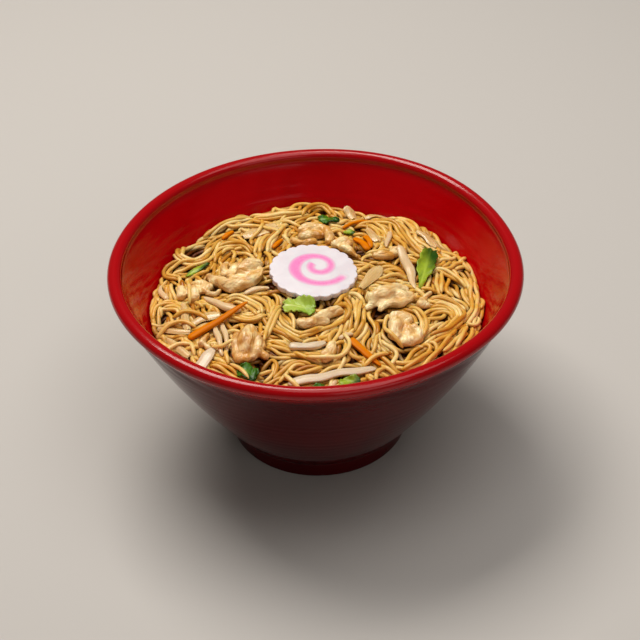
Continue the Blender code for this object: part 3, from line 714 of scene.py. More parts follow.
def cake_look(name, pink_too):
    look = Look(name, CAKE_WHITE, 0.42)
    look.flesh(0.35, 0.0022, (1.0, 0.8, 0.7))
    look.film(0.15, 0.25)
    patches, grain, height = look.patches(120.0, 1500.0)
    colour = look.mix(patches, rgb(234, 228, 232), rgb(226, 218, 224))
    if pink_too:
        rosy = look.mix(grain, rgb(248, 150, 206), rgb(240, 112, 182))
        colour = look.mix(look.painted("pink"), colour, rosy)
    look.feed("Base Color", colour)
    look.bump(height, 0.06, 0.0002)
    return look.material


seat_slice(cake)
seat_slice(swirl)
finish_piece(cake, "fish_cake", cake_look("fish_cake_white", False), ["fish_cake_slice"], 40)
finish_piece(swirl, "fish_cake_pink_swirl", cake_look("fish_cake_pink", True), ["fish_cake_swirl"],
             40)

# %% [markdown]
# ## Chicken
# Each piece was torn from cooked breast, so it is a few thick folds lying against each other, with brown
# patches of its own and painted shade in the creases and underneath. A fold is drawn as a row of spheres
# along a curve. The folds of a piece are joined and remeshed into one skin, which is swollen and shrunk
# again so that the seams fill in. Then lumps, flakes and fine fibres are pressed into it.

# %% Folds of each piece
# Name, direction of the fibres in degrees, how browned the piece is, then the folds in millimetres: each
# point is x, y, height of the middle above the noodles, radius.
CHICKEN = (
    ("chicken_left", 8, 0.14, (
        ((-53.2, 15.8, 2.2, 1.6), (-49.9, 10.6, 2.8, 2.5), (-45.7, 6.8, 3.2, 3.2), (-41.2, 3.6, 3.4, 3.6),
         (-36.2, 3.4, 3.4, 3.6), (-31.9, 5.6, 3.4, 3.1), (-28.5, 9.8, 3.4, 2.6), (-27.0, 13.2, 3.4, 2.0)),
        ((-36.0, 14.8, 4.2, 3.4), (-32.6, 17.8, 4.6, 3.9), (-29.2, 17.6, 4.4, 3.3)),
        ((-45.6, 15.1, 2.6, 1.6), (-45.8, 20.5, 2.6, 1.8), (-45.0, 24.5, 2.2, 1.4)),
        ((-42.5, 13.5, 3.0, 2.0), (-40.7, 18.0, 3.2, 2.2), (-38.4, 21.0, 3.2, 2.0)),
        ((-41.0, 10.0, 2.0, 2.4), (-36.0, 9.6, 2.2, 2.6), (-31.5, 11.5, 2.6, 2.6)))),
    ("chicken_far_left", 70, 0.05, (
        ((-66.8, 7.5, 2.4, 2.2), (-66.3, 2.5, 2.4, 2.3)),
        ((-60.4, 5.1, 3.0, 2.5), (-59.4, -0.6, 2.8, 2.6)),
        ((-61.0, 11.2, 2.2, 1.8), (-56.3, 9.3, 2.6, 2.1), (-52.4, 6.4, 2.6, 2.0)),
        ((-55.6, 4.5, 2.2, 1.9), (-52.9, 1.4, 2.2, 1.5), (-49.8, 0.0, 2.2, 1.3), (-47.6, 2.4, 2.0, 1.0)),
        ((-62.0, 5.0, 1.8, 2.4), (-56.0, 5.5, 1.8, 2.4)))),
    ("chicken_behind_slice", -12, 0.18, (
        ((-7.0, 52.5, 3.0, 2.2), (-3.4, 54.5, 3.2, 2.6), (1.3, 54.2, 3.4, 2.7), (5.3, 50.5, 3.4, 2.7),
         (7.2, 44.5, 3.2, 2.5), (6.6, 39.5, 2.8, 2.0)),
        ((-7.1, 46.7, 2.8, 2.2), (-4.0, 45.8, 3.0, 2.3), (-0.9, 48.1, 3.0, 2.3), (1.6, 46.6, 2.6, 2.0)),
        ((-11.2, 43.2, 2.0, 1.9), (-8.1, 39.8, 2.4, 2.1), (-4.1, 39.5, 2.4, 2.1), (-0.5, 41.3, 2.0, 1.7)),
        ((-4.0, 50.0, 1.6, 2.4), (2.4, 47.8, 1.4, 2.4)))),
    ("chicken_behind_right", 60, 0.12, (
        ((10.6, 36.5, 3.2, 2.5), (14.4, 38.8, 3.4, 2.7), (17.2, 36.0, 3.2, 2.4)),
        ((13.8, 32.8, 3.0, 2.4), (17.3, 30.4, 2.8, 2.2), (20.2, 27.0, 2.2, 1.5)))),
    ("chicken_back_right", 5, 0.25, (
        ((30.5, 26.2, 2.8, 2.3), (34.5, 26.8, 3.2, 2.6), (38.1, 27.4, 2.2, 2.2)),
        ((39.0, 33.2, 2.4, 1.7), (42.0, 33.2, 3.0, 2.2), (45.0, 32.8, 2.4, 1.7)),
        ((38.6, 30.4, 1.8, 2.0), (41.6, 30.4, 1.6, 2.0)))),
    ("chicken_right", 22, -0.04, (
        ((27.3, -11.2, 3.8, 3.2), (31.8, -8.4, 4.2, 4.0), (36.3, -5.9, 4.0, 3.6), (40.6, -1.6, 3.4, 2.3),
         (44.0, -2.6, 3.0, 1.7)),
        ((40.5, -7.6, 3.6, 2.7), (43.3, -8.6, 3.4, 2.4), (46.0, -6.6, 3.0, 1.6)),
        ((24.2, -17.0, 2.2, 1.5), (26.2, -15.0, 2.6, 1.9), (28.7, -13.0, 2.8, 2.2)),
        ((30.8, -17.4, 2.2, 1.5), (32.9, -15.2, 2.6, 1.9), (36.3, -13.8, 2.8, 2.0), (40.2, -12.8, 2.8, 2.0),
         (44.2, -11.0, 2.8, 1.7), (47.8, -7.9, 2.6, 1.1)),
        ((31.5, -12.0, 2.0, 2.4), (38.0, -9.5, 2.0, 2.8)))),
    ("chicken_right_small", 70, -0.05, (
        ((50.2, -13.0, 2.4, 2.4), (52.8, -12.2, 2.2, 2.2)),
        ((51.6, -9.0, 1.8, 1.8), (53.6, -5.0, 2.0, 1.4), (56.0, -1.6, 1.9, 1.1)))),
    ("chicken_round", 75, 0.0, (
        ((36.3, -24.6, 3.2, 2.4), (40.1, -24.2, 3.6, 2.7), (43.3, -26.3, 3.4, 2.2)),
        ((37.4, -29.7, 3.8, 3.5), (35.9, -34.6, 3.6, 3.2), (37.4, -37.8, 3.0, 2.6)),
        ((41.0, -28.6, 3.2, 2.2), (42.2, -30.6, 3.0, 1.8)),
        ((45.8, -31.6, 3.2, 2.2), (48.0, -34.2, 3.0, 2.2), (47.6, -37.6, 2.6, 2.1), (44.2, -39.8, 2.4, 2.1),
         (40.6, -40.2, 2.2, 1.9)),
        ((42.0, -33.0, 1.4, 2.4), (42.4, -36.6, 1.4, 2.6)),
        ((42.6, -34.4, 4.0, 0.9), (43.4, -36.2, 3.9, 0.9)))),
    ("chicken_front_left", 95, 0.27, (
        ((-37.2, -35.4, 3.2, 2.6), (-38.0, -41.0, 3.2, 2.8), (-37.6, -45.2, 2.8, 2.6)),
        ((-31.8, -34.4, 3.8, 3.8), (-33.0, -38.8, 4.0, 4.7), (-33.4, -43.6, 3.6, 4.2)),
        ((-28.9, -37.1, 3.4, 2.7), (-28.1, -42.4, 3.2, 2.6), (-28.4, -45.8, 2.8, 2.3)),
        ((-25.9, -39.4, 2.4, 1.5), (-25.2, -42.4, 2.2, 1.3)),
        ((-37.6, -47.6, 2.4, 2.1), (-36.2, -48.6, 2.4, 2.2)),
        ((-33.0, -49.2, 2.6, 2.2), (-30.0, -48.4, 2.4, 2.0)),
        ((-26.0, -46.4, 1.6, 1.5), (-24.2, -48.2, 1.6, 1.2)))),
    ("chicken_below_slice", 28, -0.04, (
        ((-7.5, -28.2, 2.8, 2.4), (-4.2, -29.2, 3.0, 2.9), (-1.4, -29.4, 2.8, 2.2)),
        ((-1.4, -26.8, 2.8, 2.2), (3.9, -23.2, 3.2, 2.6), (8.8, -20.4, 3.2, 2.5), (11.6, -20.0, 2.6, 1.7)),
        ((1.0, -27.4, 1.6, 1.9), (5.0, -26.0, 1.6, 1.5)))),
    ("chicken_front_small", 70, 0.10, (
        ((7.4, -42.6, 2.4, 1.8), (6.2, -46.0, 2.8, 2.5), (4.3, -49.6, 2.6, 2.8), (2.6, -51.4, 2.2, 1.9)),)),
    ("chicken_left_small", 80, 0.25, (
        ((-51.9, -29.5, 2.0, 1.5), (-53.4, -32.5, 2.2, 1.9), (-55.0, -35.2, 2.2, 2.0)),
        ((-52.6, -36.6, 2.0, 1.6), (-51.6, -38.0, 1.8, 1.2)))),
)
BALL_STEP = 0.9
MEAT_VOXEL = 0.40 * MM
SEAM_FILL = 0.45 * MM
LUMP_DEPTH = 0.85 * MM
FLAKE_DEPTH = 0.38 * MM
SHRED_DEPTH = 0.14 * MM
FIBRE_DEPTH = 0.12 * MM
FIBRE_PITCH = 1.1
UNDERSIDE_SHADE_HEIGHT = 3.4 * MM


def folds_joined(folds):
    """Joins the folds into one skin, and swells and shrinks it so that the seams fill in."""
    parts = []
    for fold in folds:
        for x, y, z, radius in curve_through(fold, BALL_STEP):
            bpy.ops.object.select_all(action="DESELECT")
            place = (x * MM, y * MM, z * MM)
            bpy.ops.mesh.primitive_ico_sphere_add(subdivisions=3, radius=radius * MM, location=place)
            parts.append(bpy.context.active_object)
    select_only(*parts)
    bpy.ops.object.join()
    meat = bpy.context.active_object
    bpy.ops.object.transform_apply(location=True, rotation=True, scale=True)
    for swell in (SEAM_FILL, -SEAM_FILL):
        apply_modifier(meat, "REMESH", mode="VOXEL", voxel_size=MEAT_VOXEL)
        apply_modifier(meat, "SMOOTH", factor=0.6, iterations=5)
        apply_modifier(meat, "DISPLACE", strength=swell, mid_level=0.0)
    apply_modifier(meat, "SMOOTH", factor=0.5, iterations=4)
    return meat


def arrays_of(item):
    """Points and normals of a mesh as arrays."""
    count = len(item.data.vertices)
    points = np.empty(count * 3)
    normals = np.empty(count * 3)
    item.data.vertices.foreach_get("co", points)
    item.data.vertex_normals.foreach_get("vector", normals)
    return points.reshape(-1, 3), normals.reshape(-1, 3)


def press_meat(meat, grain_degrees, browned, folds):
    """Tears flakes, shreds and fibres into the skin, then lays the piece on the noodles."""
    points, normals = arrays_of(meat)
    turn = math.radians(grain_degrees)
    seed = Vector((folds[0][0][0], folds[0][0][1], 3.0)) * 0.37
    relief = np.empty(len(points))
    brown_and_shade = np.empty(len(points))
    tone = np.empty(len(points))
    for k, (x, y, z) in enumerate(points / MM):
        place = Vector((x, y, z))
        warp = noise.noise_vector(place * 0.25 + seed)
        along = x * math.cos(turn) + y * math.sin(turn) + 1.6 * warp.x
        across = -x * math.sin(turn) + y * math.cos(turn) + 1.6 * warp.y
        depth = z + 1.2 * warp.z
        flake = abs(noise.noise(Vector((along * 0.13, across * 0.23, depth * 0.20)) + seed))
        shred = abs(noise.noise(Vector((along * 0.36, across * 0.62, depth * 0.5)) - seed))
        fibre = noise.noise(Vector((along * 0.14, across / FIBRE_PITCH, depth / FIBRE_PITCH)) + seed)
        relief[k] = LUMP_DEPTH * noise.noise(place * 0.22 + seed) + FIBRE_DEPTH * (1.0 - 2.5 * abs(fibre))
        relief[k] += FLAKE_DEPTH * (min(flake / 0.30, 1.0) ** 0.6 - 0.75)
        relief[k] += SHRED_DEPTH * (min(shred / 0.30, 1.0) ** 0.7 - 0.6)
        brown = min(max(2.4 * noise.noise(place * 0.30 + seed * 3.0) - 0.45 + 0.4 * browned, 0.0), 1.0)
        # Brown patches are the meat's own; the deepest grooves of the flakes are painted as shade.
        brown_and_shade[k] = max(0.40 * math.exp(-(flake / 0.08) ** 2), (0.6 + browned) * brown)
        tone[k] = 0.32 + 1.5 * browned + 0.9 * noise.noise(place * 0.19 - seed * 2.0) + 0.4 * fibre
    # Painted shade: darker towards the bottom of each piece, under it.
    low = np.clip(1.0 - points[:, 2] / UNDERSIDE_SHADE_HEIGHT, 0.0, 1.0)
    points = points + normals * relief[:, None]
    for k, (x, y, z) in enumerate(points):
        points[k, 2] = ground(x, y) + GAP + max(z, 0.05 * z)
    meat.data.vertices.foreach_set("co", points.reshape(-1))
    meat.data.update()
    paint(meat, "brown_and_shade", np.maximum(brown_and_shade, 0.8 * low))
    paint(meat, "tone", np.clip(tone, 0.0, 1.0))


def chicken_look():
    look = Look("chicken_cooked", rgb(232, 190, 135), 0.42)
    look.flesh(0.15, 0.0014, (1.0, 0.55, 0.3))
    look.film(0.25, 0.22)
    patches, grain, height = look.patches(170.0, 900.0)
    body = look.mix(look.painted("tone"), rgb(255, 236, 180), rgb(216, 154, 66))
    body = look.mix(look.scaled(patches, 0.0, 0.45), body, rgb(232, 186, 104))
    # The brown mask mixes the meat's own browning with shade painted in its grooves and underneath.
    browned = look.scaled(look.painted("brown_and_shade"), 0.0, 0.60)
    look.feed("Base Color", look.mix(browned, body, rgb(152, 82, 12)))
    look.feed("Roughness", look.scaled(grain, 0.30, 0.52))
    look.bump(height, 0.30, 0.0004)
    return look.material


# Without a seed, the warp of the flakes starts from the clock, and the noodles round them move each run.
FLAKE_SEED = 1795524268
noise.seed_set(FLAKE_SEED)
chicken_material = chicken_look()
for name, grain_degrees, browned, folds in CHICKEN:
    meat = folds_joined(folds)
    press_meat(meat, grain_degrees, browned, folds)
    finish_piece(meat, name + "_meat", chicken_material, [name])
meat_faces = sum(len(PIECES[name + "_meat"].data.polygons) for name, *_ in CHICKEN)
print(len(CHICKEN), "pieces of chicken have", meat_faces, "faces")

# %% [markdown]
# ## Sprouts, stalks, onion and carrot
# All of these are strips. A strip is a section drawn along a curve: round for a sprout, flat for onion and
# stalks, square for carrot. Each keeps a map of its own, along and across, so that its fibres run lengthwise
# in whatever direction it lies.

# %% Where the strips lie
# Name, kind, width, thickness, then points as (x, y, lift above the noodles' bed) in millimetres. The
# slivers lie among the noodles and belong to them, and the second bit of carrot belongs to the first.
STRIPS = (
    ("sprout_left", "sprout", 4.4, 3.2,
     ((-55, -0.8, 0), (-50.6, -6.0, 0.2), (-45.8, -9.9, 0.3), (-40.8, -13.0, 0), (-36.6, -15.4, -0.4))),
    ("sprout_by_leaf", "sprout", 5.2, 2.8,
     ((41.6, 29, 6.4), (44.2, 23, 4.0), (46.4, 16, 1.0), (47.6, 8.5, 0), (48.4, 0.5, 0))),
    ("stalk_front", "stalk", 5.0, 2.4,
     ((-14, -65.4, 0.6), (-1.5, -63.0, 0.4), (7.7, -60.8, 0.5), (17, -58.8, 0.3), (27, -57.0, 0))),
    ("stalk_middle", "stalk", 4.4, 2.8,
     ((-13.4, -43.4, 0), (-6.5, -44.0, 0), (-0.5, -42.4, 0), (4.0, -40.8, 0))),
    ("sprout_upright_a", "sprout", 3.0, 2.6,
     ((-48.6, -23.2, -0.8), (-46.9, -33.6, 0.4), (-44.4, -45.0, 0.2))),
    ("sprout_upright_b", "sprout", 2.7, 2.4,
     ((-45.2, -21.4, -0.8), (-43.7, -31.6, 0.4), (-42.0, -43.0, 0.2))),
    ("stalk_front_left", "stalk", 6.2, 2.2, ((-48.4, -38.8, 0.2), (-52.2, -44.8, 0.4), (-56.6, -51.4, 0.2))),
    ("sprout_far_left", "sprout", 3.2, 2.8, ((-78, 16, 1.6), (-76.6, 9, 0.6), (-73.8, 1.6, 0))),
    ("sprout_white", "sprout", 3.2, 3.0, ((8.4, -65.9, 1.6), (6.6, -67.6, 1), (4.6, -70, 0.5))),
    ("sprout_by_slice", "sprout", 3.0, 2.4,
     ((-35.4, -2.4, 0), (-31, 0.4, 0.3), (-26.4, 1.0, 0.2), (-23, -1.4, 0))),
    ("onion_right", "onion", 6.6, 1.6, ((21.8, -0.6, 0), (26.4, 7, 0.3), (32.3, 18.4, 0))),
    ("onion_back", "onion", 5.4, 1.6, ((53, 53, 0), (58.2, 48.4, 0.6), (62.4, 41.6, 0))),
    ("onion_upright", "onion", 5.6, 1.8, ((20.5, 67.5, 0), (19, 72, 1.5), (17.5, 75.5, 5))),
    ("onion_back_right", "onion", 4.4, 1.6, ((26.5, 68, 0), (32.5, 70.8, 1.6), (39, 67.8, 0.6))),
    ("onion_back_left", "onion", 10.0, 1.6, ((-37, 51.6, 0), (-28.5, 56, 0.8), (-20, 60, 0.3))),
    ("onion_left", "onion", 5.6, 1.6,
     ((-60.6, -20.4, 0), (-56.4, -17.2, 0.4), (-52, -15.8, 0.4), (-46.6, -15.6, 0))),
    ("onion_far_left", "onion", 3.6, 1.4, ((-71.6, -26.6, 0), (-67.4, -33, 0.4), (-60.4, -41.6, 0))),
    ("carrot_left", "carrot", 3.7, 2.2,
     ((-61.6, -29.6, 0), (-56.4, -27.0, 0.5), (-52, -24.8, 1.1), (-47.2, -22.6, 1.9), (-42.3, -19.4, 2.7),
      (-36.8, -15.6, 3.5), (-33.0, -13.2, 3.9))),
    ("carrot_right", "carrot", 3.9, 2.0,
     ((15.2, -38, 0), (19.6, -43.8, 0.4), (24.0, -49.3, 0.4), (29.2, -54.8, 0))),
    ("carrot_back", "carrot", 3.6, 2.0, ((19.8, 45.4, 0), (24, 40.2, 0.4), (27, 33.8, 0))),
    ("carrot_thread", "carrot", 1.6, 1.5, ((14.5, 57, 0), (19.5, 61.5, 0.6), (25, 64, 0.6), (31, 64.5, 0))),
    ("carrot_far_left", "carrot", 2.4, 1.8, ((-48, 52, 0), (-45, 55, 0.2), (-42, 57.5, 0))),
    ("carrot_by_slice", "carrot", 2.2, 1.8, ((-21.5, 37.5, 0), (-18.8, 42, 0.3), (-16.5, 46, 0))),
    ("carrot_back_second", "carrot", 3.0, 1.8, ((25.6, 46, 1.0), (27.6, 40, 2.0), (28.4, 34.6, 1.0))),
    ("sliver_left_upright", "onion", 3.8, 1.6,
     ((-65.4, -2.4, 0), (-64.2, -10, 0.5), (-63.6, -16.6, 0.5), (-61.6, -23.6, 0))),
    ("sliver_left_level", "onion", 3.4, 1.6,
     ((-77, -16.6, 0), (-72, -21, 0.3), (-66.4, -23.6, 0.3), (-60.6, -24.6, -0.4))),
    ("sliver_back_a", "onion", 4.4, 1.6, ((27.4, 55.5, 0.4), (29.4, 49, 1.0), (32.2, 42.4, 0.4))),
    ("sliver_back_b", "sprout", 2.8, 2.4, ((38.6, 52, 0.3), (37.6, 44, 0.8), (36.0, 36.4, 0.4))),
    ("sliver_middle", "sprout", 2.6, 2.2, ((10.2, -38.4, 0), (13.4, -36.2, 0.2), (17.2, -34.6, 0))),
)
# Each kind: points round the section, how square it is, how much the ends narrow, how deep its ribs are,
# and how blunt its ends are.
STRIP_KINDS = {
    "sprout": (16, 2.0, 0.26, 0.04, 16),
    "stalk": (20, 2.6, 0.15, 0.07, 30),
    "carrot": (20, 4.0, 0.10, 0.05, 40),
}
STRIP_STEP = 0.7 * MM
STRIP_RISE = 0.9 * MM
SIDE_KINK = 0.35 * MM
KINK_WAVE = 2.6 * MM
# Where a strip narrows to a tail: at its first point (-1) or its last (1), and by how much.
TAILS = {
    "sprout_by_leaf": (1, 0.55), "sprout_upright_a": (1, 0.30), "sprout_upright_b": (1, 0.40),
    "sprout_left": (-1, 0.50), "sprout_far_left": (-1, 0.55), "sprout_white": (-1, 0.5),
    "sprout_by_slice": (1, 0.4), "stalk_front": (1, 0.30), "stalk_middle": (1, 0.15),
    "stalk_front_left": (-1, 0.45), "carrot_left": (1, 0.62), "carrot_right": (1, 0.60),
    "carrot_back": (-1, 0.35), "carrot_far_left": (1, 0.4), "carrot_by_slice": (1, 0.4),
}
OTHER_TAIL = (1, 0.3)

# %% A strip along its curve
def strip(name, kind, width, thickness, points):
    """A strip of vegetable along its curve, with rounded ends and lengthwise ribs."""
    sides, power, narrow, ribs, blunt = STRIP_KINDS[kind]
    line = curve_through(np.array(points) * MM, STRIP_STEP)
    n = len(line)
    half = thickness * MM / 2
    lift = line[:, 2].copy()
    kink = SIDE_KINK * np.sin(np.arange(n) * STRIP_STEP / KINK_WAVE + len(name)) * (kind != "carrot")
    line[:, :2] += frame_along(line)[0][:, :2] * kink[:, None]
    line[:, 2] = [ground(x, y) + STRIP_RISE + half * 1.06 + up for (x, y, _), up in zip(line, lift)]
    angle, square = section(sides, power)
    ribbed = square * (1.0 + ribs * np.cos(angle * (sides // 4) + len(name)))
    place = np.linspace(-1.0, 1.0, n)
    share = (1.0 - narrow * np.abs(place) ** 2.6) * np.clip((1.0 - place ** blunt), 0.12, 1.0)
    share = share * (1.0 + 0.08 * np.sin(place * 5.0 + len(name)))
    end, thinner = TAILS.get(name, OTHER_TAIL)
    share = share * (1.0 - thinner * np.clip((end * place + 0.4) / 1.4, 0.0, 1.0) ** 1.6)
    wide = width * MM / 2 * ribbed * np.cos(angle)
    high = half * ribbed * np.sin(angle)
    skin = rings_along(line, wide[None, :] * share[:, None], high[None, :] * share[:, None])
    item = new_mesh_object(name, skin.tolist(), tube_faces(n, sides))
    along = np.repeat(np.arange(n) * STRIP_STEP, sides)
    paint(item, "grain", np.stack([along * 0.18, np.tile(wide, n), np.tile(high, n)], axis=1), "FLOAT_VECTOR")
    paint(item, "edge", np.tile(np.abs(np.cos(angle)), n))
    return item


# %% A petal of onion
PETAL_PITCH = 0.4


def petal(name, width, thickness, points):
    """A piece of onion: a thin petal arched across its width, ribbed lengthwise, with torn ends."""
    select_only()
    line = curve_through(np.array(points) * MM, PETAL_PITCH * MM)
    columns = len(line) - 1
    rows = max(12, round(width / PETAL_PITCH))
    bpy.ops.mesh.primitive_grid_add(x_subdivisions=columns, y_subdivisions=rows, size=2.0)
    item = bpy.context.active_object
    side, _ = frame_along(line)
    skin = 0.55 * thickness * MM
    arch = 0.45 * thickness * MM
    grain = []
    edges = []
    for vert in item.data.vertices:
        u, v = vert.co.x, vert.co.y
        edges.append(max(abs(v), abs(u)))
        torn = 0.03 * math.sin(8.0 * v + width) + 0.01 * math.sin(21.0 * v)
        at = min(max((u + 1.0) / 2.0 * columns * (1.0 + torn), 0.0), float(columns))
        k = min(int(at), columns - 1)
        share = at - k
        middle = line[k] * (1.0 - share) + line[k + 1] * share
        narrow = (1.0 - 0.55 * abs(u) ** 3.4) * (0.66 + 0.34 * smoothstep((u + 1.0) / 1.5))
        across = v * width * MM / 2 * (narrow + 0.06 * math.sin(4.0 * u + width))
        px, py = middle[:2] + side[k][:2] * across
        rise = arch * (1.0 - v * v) + 0.06 * MM * math.cos(v * width * 1.6) + middle[2]
        vert.co = (px, py, ground(px, py) + STRIP_RISE + skin / 2 + rise)
        grain.append((at * PETAL_PITCH * MM * 0.12, across, 0.0))
    paint(item, "grain", grain, "FLOAT_VECTOR")
    paint(item, "edge", edges)
    apply_modifier(item, "SOLIDIFY", thickness=skin, offset=0.0)
    return item


# %% Looks of the strips, and all of them in place
# Kind, name of the material, its light tone, dark tone and the tone of its middle, roughness, how clear
# it is, how fine its streaks are, and how wet.
VEGETABLES = (
    ("sprout", "sprout_wet", (242, 224, 190), (222, 190, 140), (214, 174, 116), 0.30, 0.25, 500.0, 0.20),
    ("stalk", "stalk_wet", (236, 222, 200), (216, 194, 164), (208, 184, 146), 0.30, 0.25, 420.0, 0.20),
    ("onion", "onion_cooked", (230, 202, 148), (212, 174, 112), (196, 152, 88), 0.24, 0.45, 420.0, 0.30),
    ("carrot", "carrot_cooked", (230, 140, 0), (202, 104, 0), (216, 120, 0), 0.42, 0.0, 500.0, 0.03),
)


def vegetable_look(name, light, dark, middle, roughness, clear, streak_scale, wet):
    """A cooked vegetable: streaks of two tones along its fibres, and its middle painted darker for what shows
    through.
    """
    look = Look(name, rgb(*light), roughness)
    look.flesh(clear, 0.0020, (1.0, 0.7, 0.4))
    look.film(wet, 0.15)
    look.fix("Specular IOR Level", 1.5 * wet)
    patches, grain, height = look.patches(streak_scale, streak_scale * 3.0, look.painted("grain", "Vector"))
    streaks = look.mix(patches, rgb(*light), rgb(*dark))
    # Painted shade: the middle of the strip is darker than its sides.
    see_through_shade = look.scaled(look.painted("edge"), 0.65, 0.0)
    look.feed("Base Color", look.mix(see_through_shade, streaks, rgb(*middle)))
    look.feed("Roughness", look.scaled(grain, roughness - 0.06, roughness + 0.12))
    look.bump(height, 0.25, 0.0003)
    return look.material


strip_looks = {kind: vegetable_look(*values) for kind, *values in VEGETABLES}
for name, kind, width, thickness, points in STRIPS:
    if kind == "onion":
        item = petal(name, width, thickness, points)
    else:
        item = strip(name, kind, width, thickness, points)
    node = "noodles" if name.startswith("sliver") else name.removesuffix("_second")
    finish_piece(item, name + "_cut", strip_looks[kind], [node], 70)
print(len(STRIPS), "strips lie on the noodles")

# %% [markdown]
# ## Leaves
# A leaf is a flat grid drawn in to an outline, then ruffled and given its thickness. The rib down its
# middle is raised and paler, and side ribs leave it at a slant.

# %% The leaves
# Name, x, y, length, width, heading in degrees, height of the ruffles, lift, lift at the far end, kind.
LEAVES = (
    ("leaf_right", 0.0548, 0.0168, 0.0315, 0.0094, 76, 0.0018, 0.0002, 0.0034, "leaf_green"),
    ("cabbage_middle", -0.0083, -0.0168, 0.0152, 0.0110, -8, 0.0030, 0.0010, 0.0, "leaf_pale"),
    ("onion_green_left", -0.0595, 0.0235, 0.0140, 0.0036, 40, 0.0010, 0.0008, 0.0, "leaf_green"),
    ("leaf_back", 0.0075, 0.0640, 0.0105, 0.0062, 2, 0.0018, 0.0006, 0.0, "leaf_dark"),
    ("leaf_front_left", -0.0325, -0.0575, 0.0105, 0.0078, -42, 0.0024, 0.0006, 0.0, "leaf_dark"),
    ("leaf_front", 0.0000, -0.0690, 0.0072, 0.0046, 5, 0.0016, 0.0004, 0.0, "leaf_dark"),
    ("cabbage_front", 0.0142, -0.0654, 0.0100, 0.0054, 12, 0.0020, 0.0006, 0.0, "leaf_green"),
    ("leaf_chip_back", 0.0178, 0.0508, 0.0056, 0.0040, 10, 0.0010, 0.0006, 0.0, "leaf_green"),
)
# How much the near end of a leaf narrows to a tail.
LONG_TAILS = {"leaf_right": 0.75, "onion_green_left": 0.3}
LEAF_THICKNESS = 0.8 * MM
LEAF_RISE = 1.2 * MM
LEAF_PITCH = 0.45 * MM
RIB_HEIGHT = 0.16 * MM
RIB_WIDTH = 0.45 * MM


def leaf(name, x, y, length, width, heading_degrees, wave, lift, far_lift):
    """A ruffled leaf from a grid, with raised ribs."""
    select_only()
    columns = max(14, round(length / LEAF_PITCH))
    rows = max(10, round(width / LEAF_PITCH))
    bpy.ops.mesh.primitive_grid_add(x_subdivisions=columns, y_subdivisions=rows, size=2.0)
    item = bpy.context.active_object
    heading = math.radians(heading_degrees)
    grain = []
    ribs = []
    tips = []
    for vert in item.data.vertices:
        u, v = vert.co.x, vert.co.y
        taper = math.sqrt(max(1.0 - abs(u) ** 2.6, 0.0)) * 0.80 + 0.20
        if name in LONG_TAILS:
            tail = 1.0 - LONG_TAILS[name] * (1.0 - smoothstep((u + 1.0) / 1.3))
            taper = max(taper, 0.62 * smoothstep(2.0 * u)) * tail
        ragged = 1.0 + 0.09 * math.sin(7.0 * u + 3.0 * v + x * 900.0)
        ragged += 0.07 * math.sin(19.0 * u + 2.0 * v + x * 500.0)
        u += 0.05 * math.sin(6.0 * v + x * 700.0) * abs(u) ** 3
        along = u * length / 2
        across = v * width / 2 * taper * ragged
        px = x + along * math.cos(heading) - across * math.sin(heading)
        py = y + along * math.sin(heading) + across * math.cos(heading)
        bend = wave * (0.5 + 0.5 * math.sin(3.4 * u + 2.1 * v + x * 300)) * (0.4 + 0.6 * v * v)
        ruffle = 0.10 * wave * math.sin(14.0 * u + 5.0 * v) * abs(v)
        slant = abs(math.sin((along / MM - 1.3 * abs(across) / MM) * 1.15))
        rib = math.exp(-(across / RIB_WIDTH) ** 2) + 0.25 * (1.0 - slant) ** 3 * (1.0 - abs(v))
        rise = lift + far_lift * smoothstep((u + 1.0) / 2.0)
        pz = ground(px, py) + LEAF_RISE + rise + bend + ruffle + RIB_HEIGHT * rib + LEAF_THICKNESS / 2
        vert.co = (px, py, pz)
        grain.append((along * 0.5, across, 0.0))
        ribs.append(min(rib, 1.0) * (1.0 - 0.9 * smoothstep((u + 0.6) / 1.2)))
        tips.append(smoothstep((u + 0.1 - 0.45 * v) / 1.0))
    paint(item, "tip", tips)
    paint(item, "grain", grain, "FLOAT_VECTOR")
    paint(item, "rib", ribs)
    apply_modifier(item, "SOLIDIFY", thickness=LEAF_THICKNESS, offset=0.0)
    return item


# %% Looks of the leaves, and all of them in place
# Kind, then the tones of the base, the tip and the ribs.
LEAF_TONES = (
    ("leaf_green", (160, 182, 44), (30, 72, 2), (170, 190, 66)),
    ("leaf_pale", (178, 198, 84), (140, 170, 50), (214, 222, 140)),
    ("leaf_dark", (66, 118, 14), (22, 62, 4), (120, 158, 44)),
)


def leaf_look(name, base_tone, tip_tone, rib_tone):
    base, dark = rgb(*base_tone), rgb(*tip_tone)
    look = Look(name, base, 0.34)
    look.flesh(0.20, 0.0012, (0.7, 1.0, 0.3))
    look.film(0.06, 0.2)
    look.fix("Specular IOR Level", 0.25)
    patches, grain, height = look.patches(260.0, 1400.0, look.painted("grain", "Vector"))
    mottled = look.mix(patches, base, tuple((a + b) / 2 for a, b in zip(base, dark)))
    blade = look.mix(look.painted("tip"), mottled, dark)
    look.feed("Base Color", look.mix(look.painted("rib"), blade, rgb(*rib_tone)))
    look.feed("Roughness", look.scaled(grain, 0.26, 0.44))
    look.bump(height, 0.35, 0.0003)
    return look.material


leaf_looks = {row[0]: leaf_look(*row) for row in LEAF_TONES}
for *row, kind in LEAVES:
    finish_piece(leaf(*row), row[0] + "_blade", leaf_looks[kind], [row[0]])
print(len(LEAVES), "leaves lie on the noodles")


# %% [markdown]
# ## Noodles
# A portion of noodles lies in hanks: strands run side by side, bend together and cross other hanks. Each
# strand here is a real tube of its own. Its route in plan comes first, and then it is laid down like the
# real thing, one strand after another, on top of all that is already there. A map of heights, one value
# for every 0.4 mm of the bowl, remembers how high the heap stands.

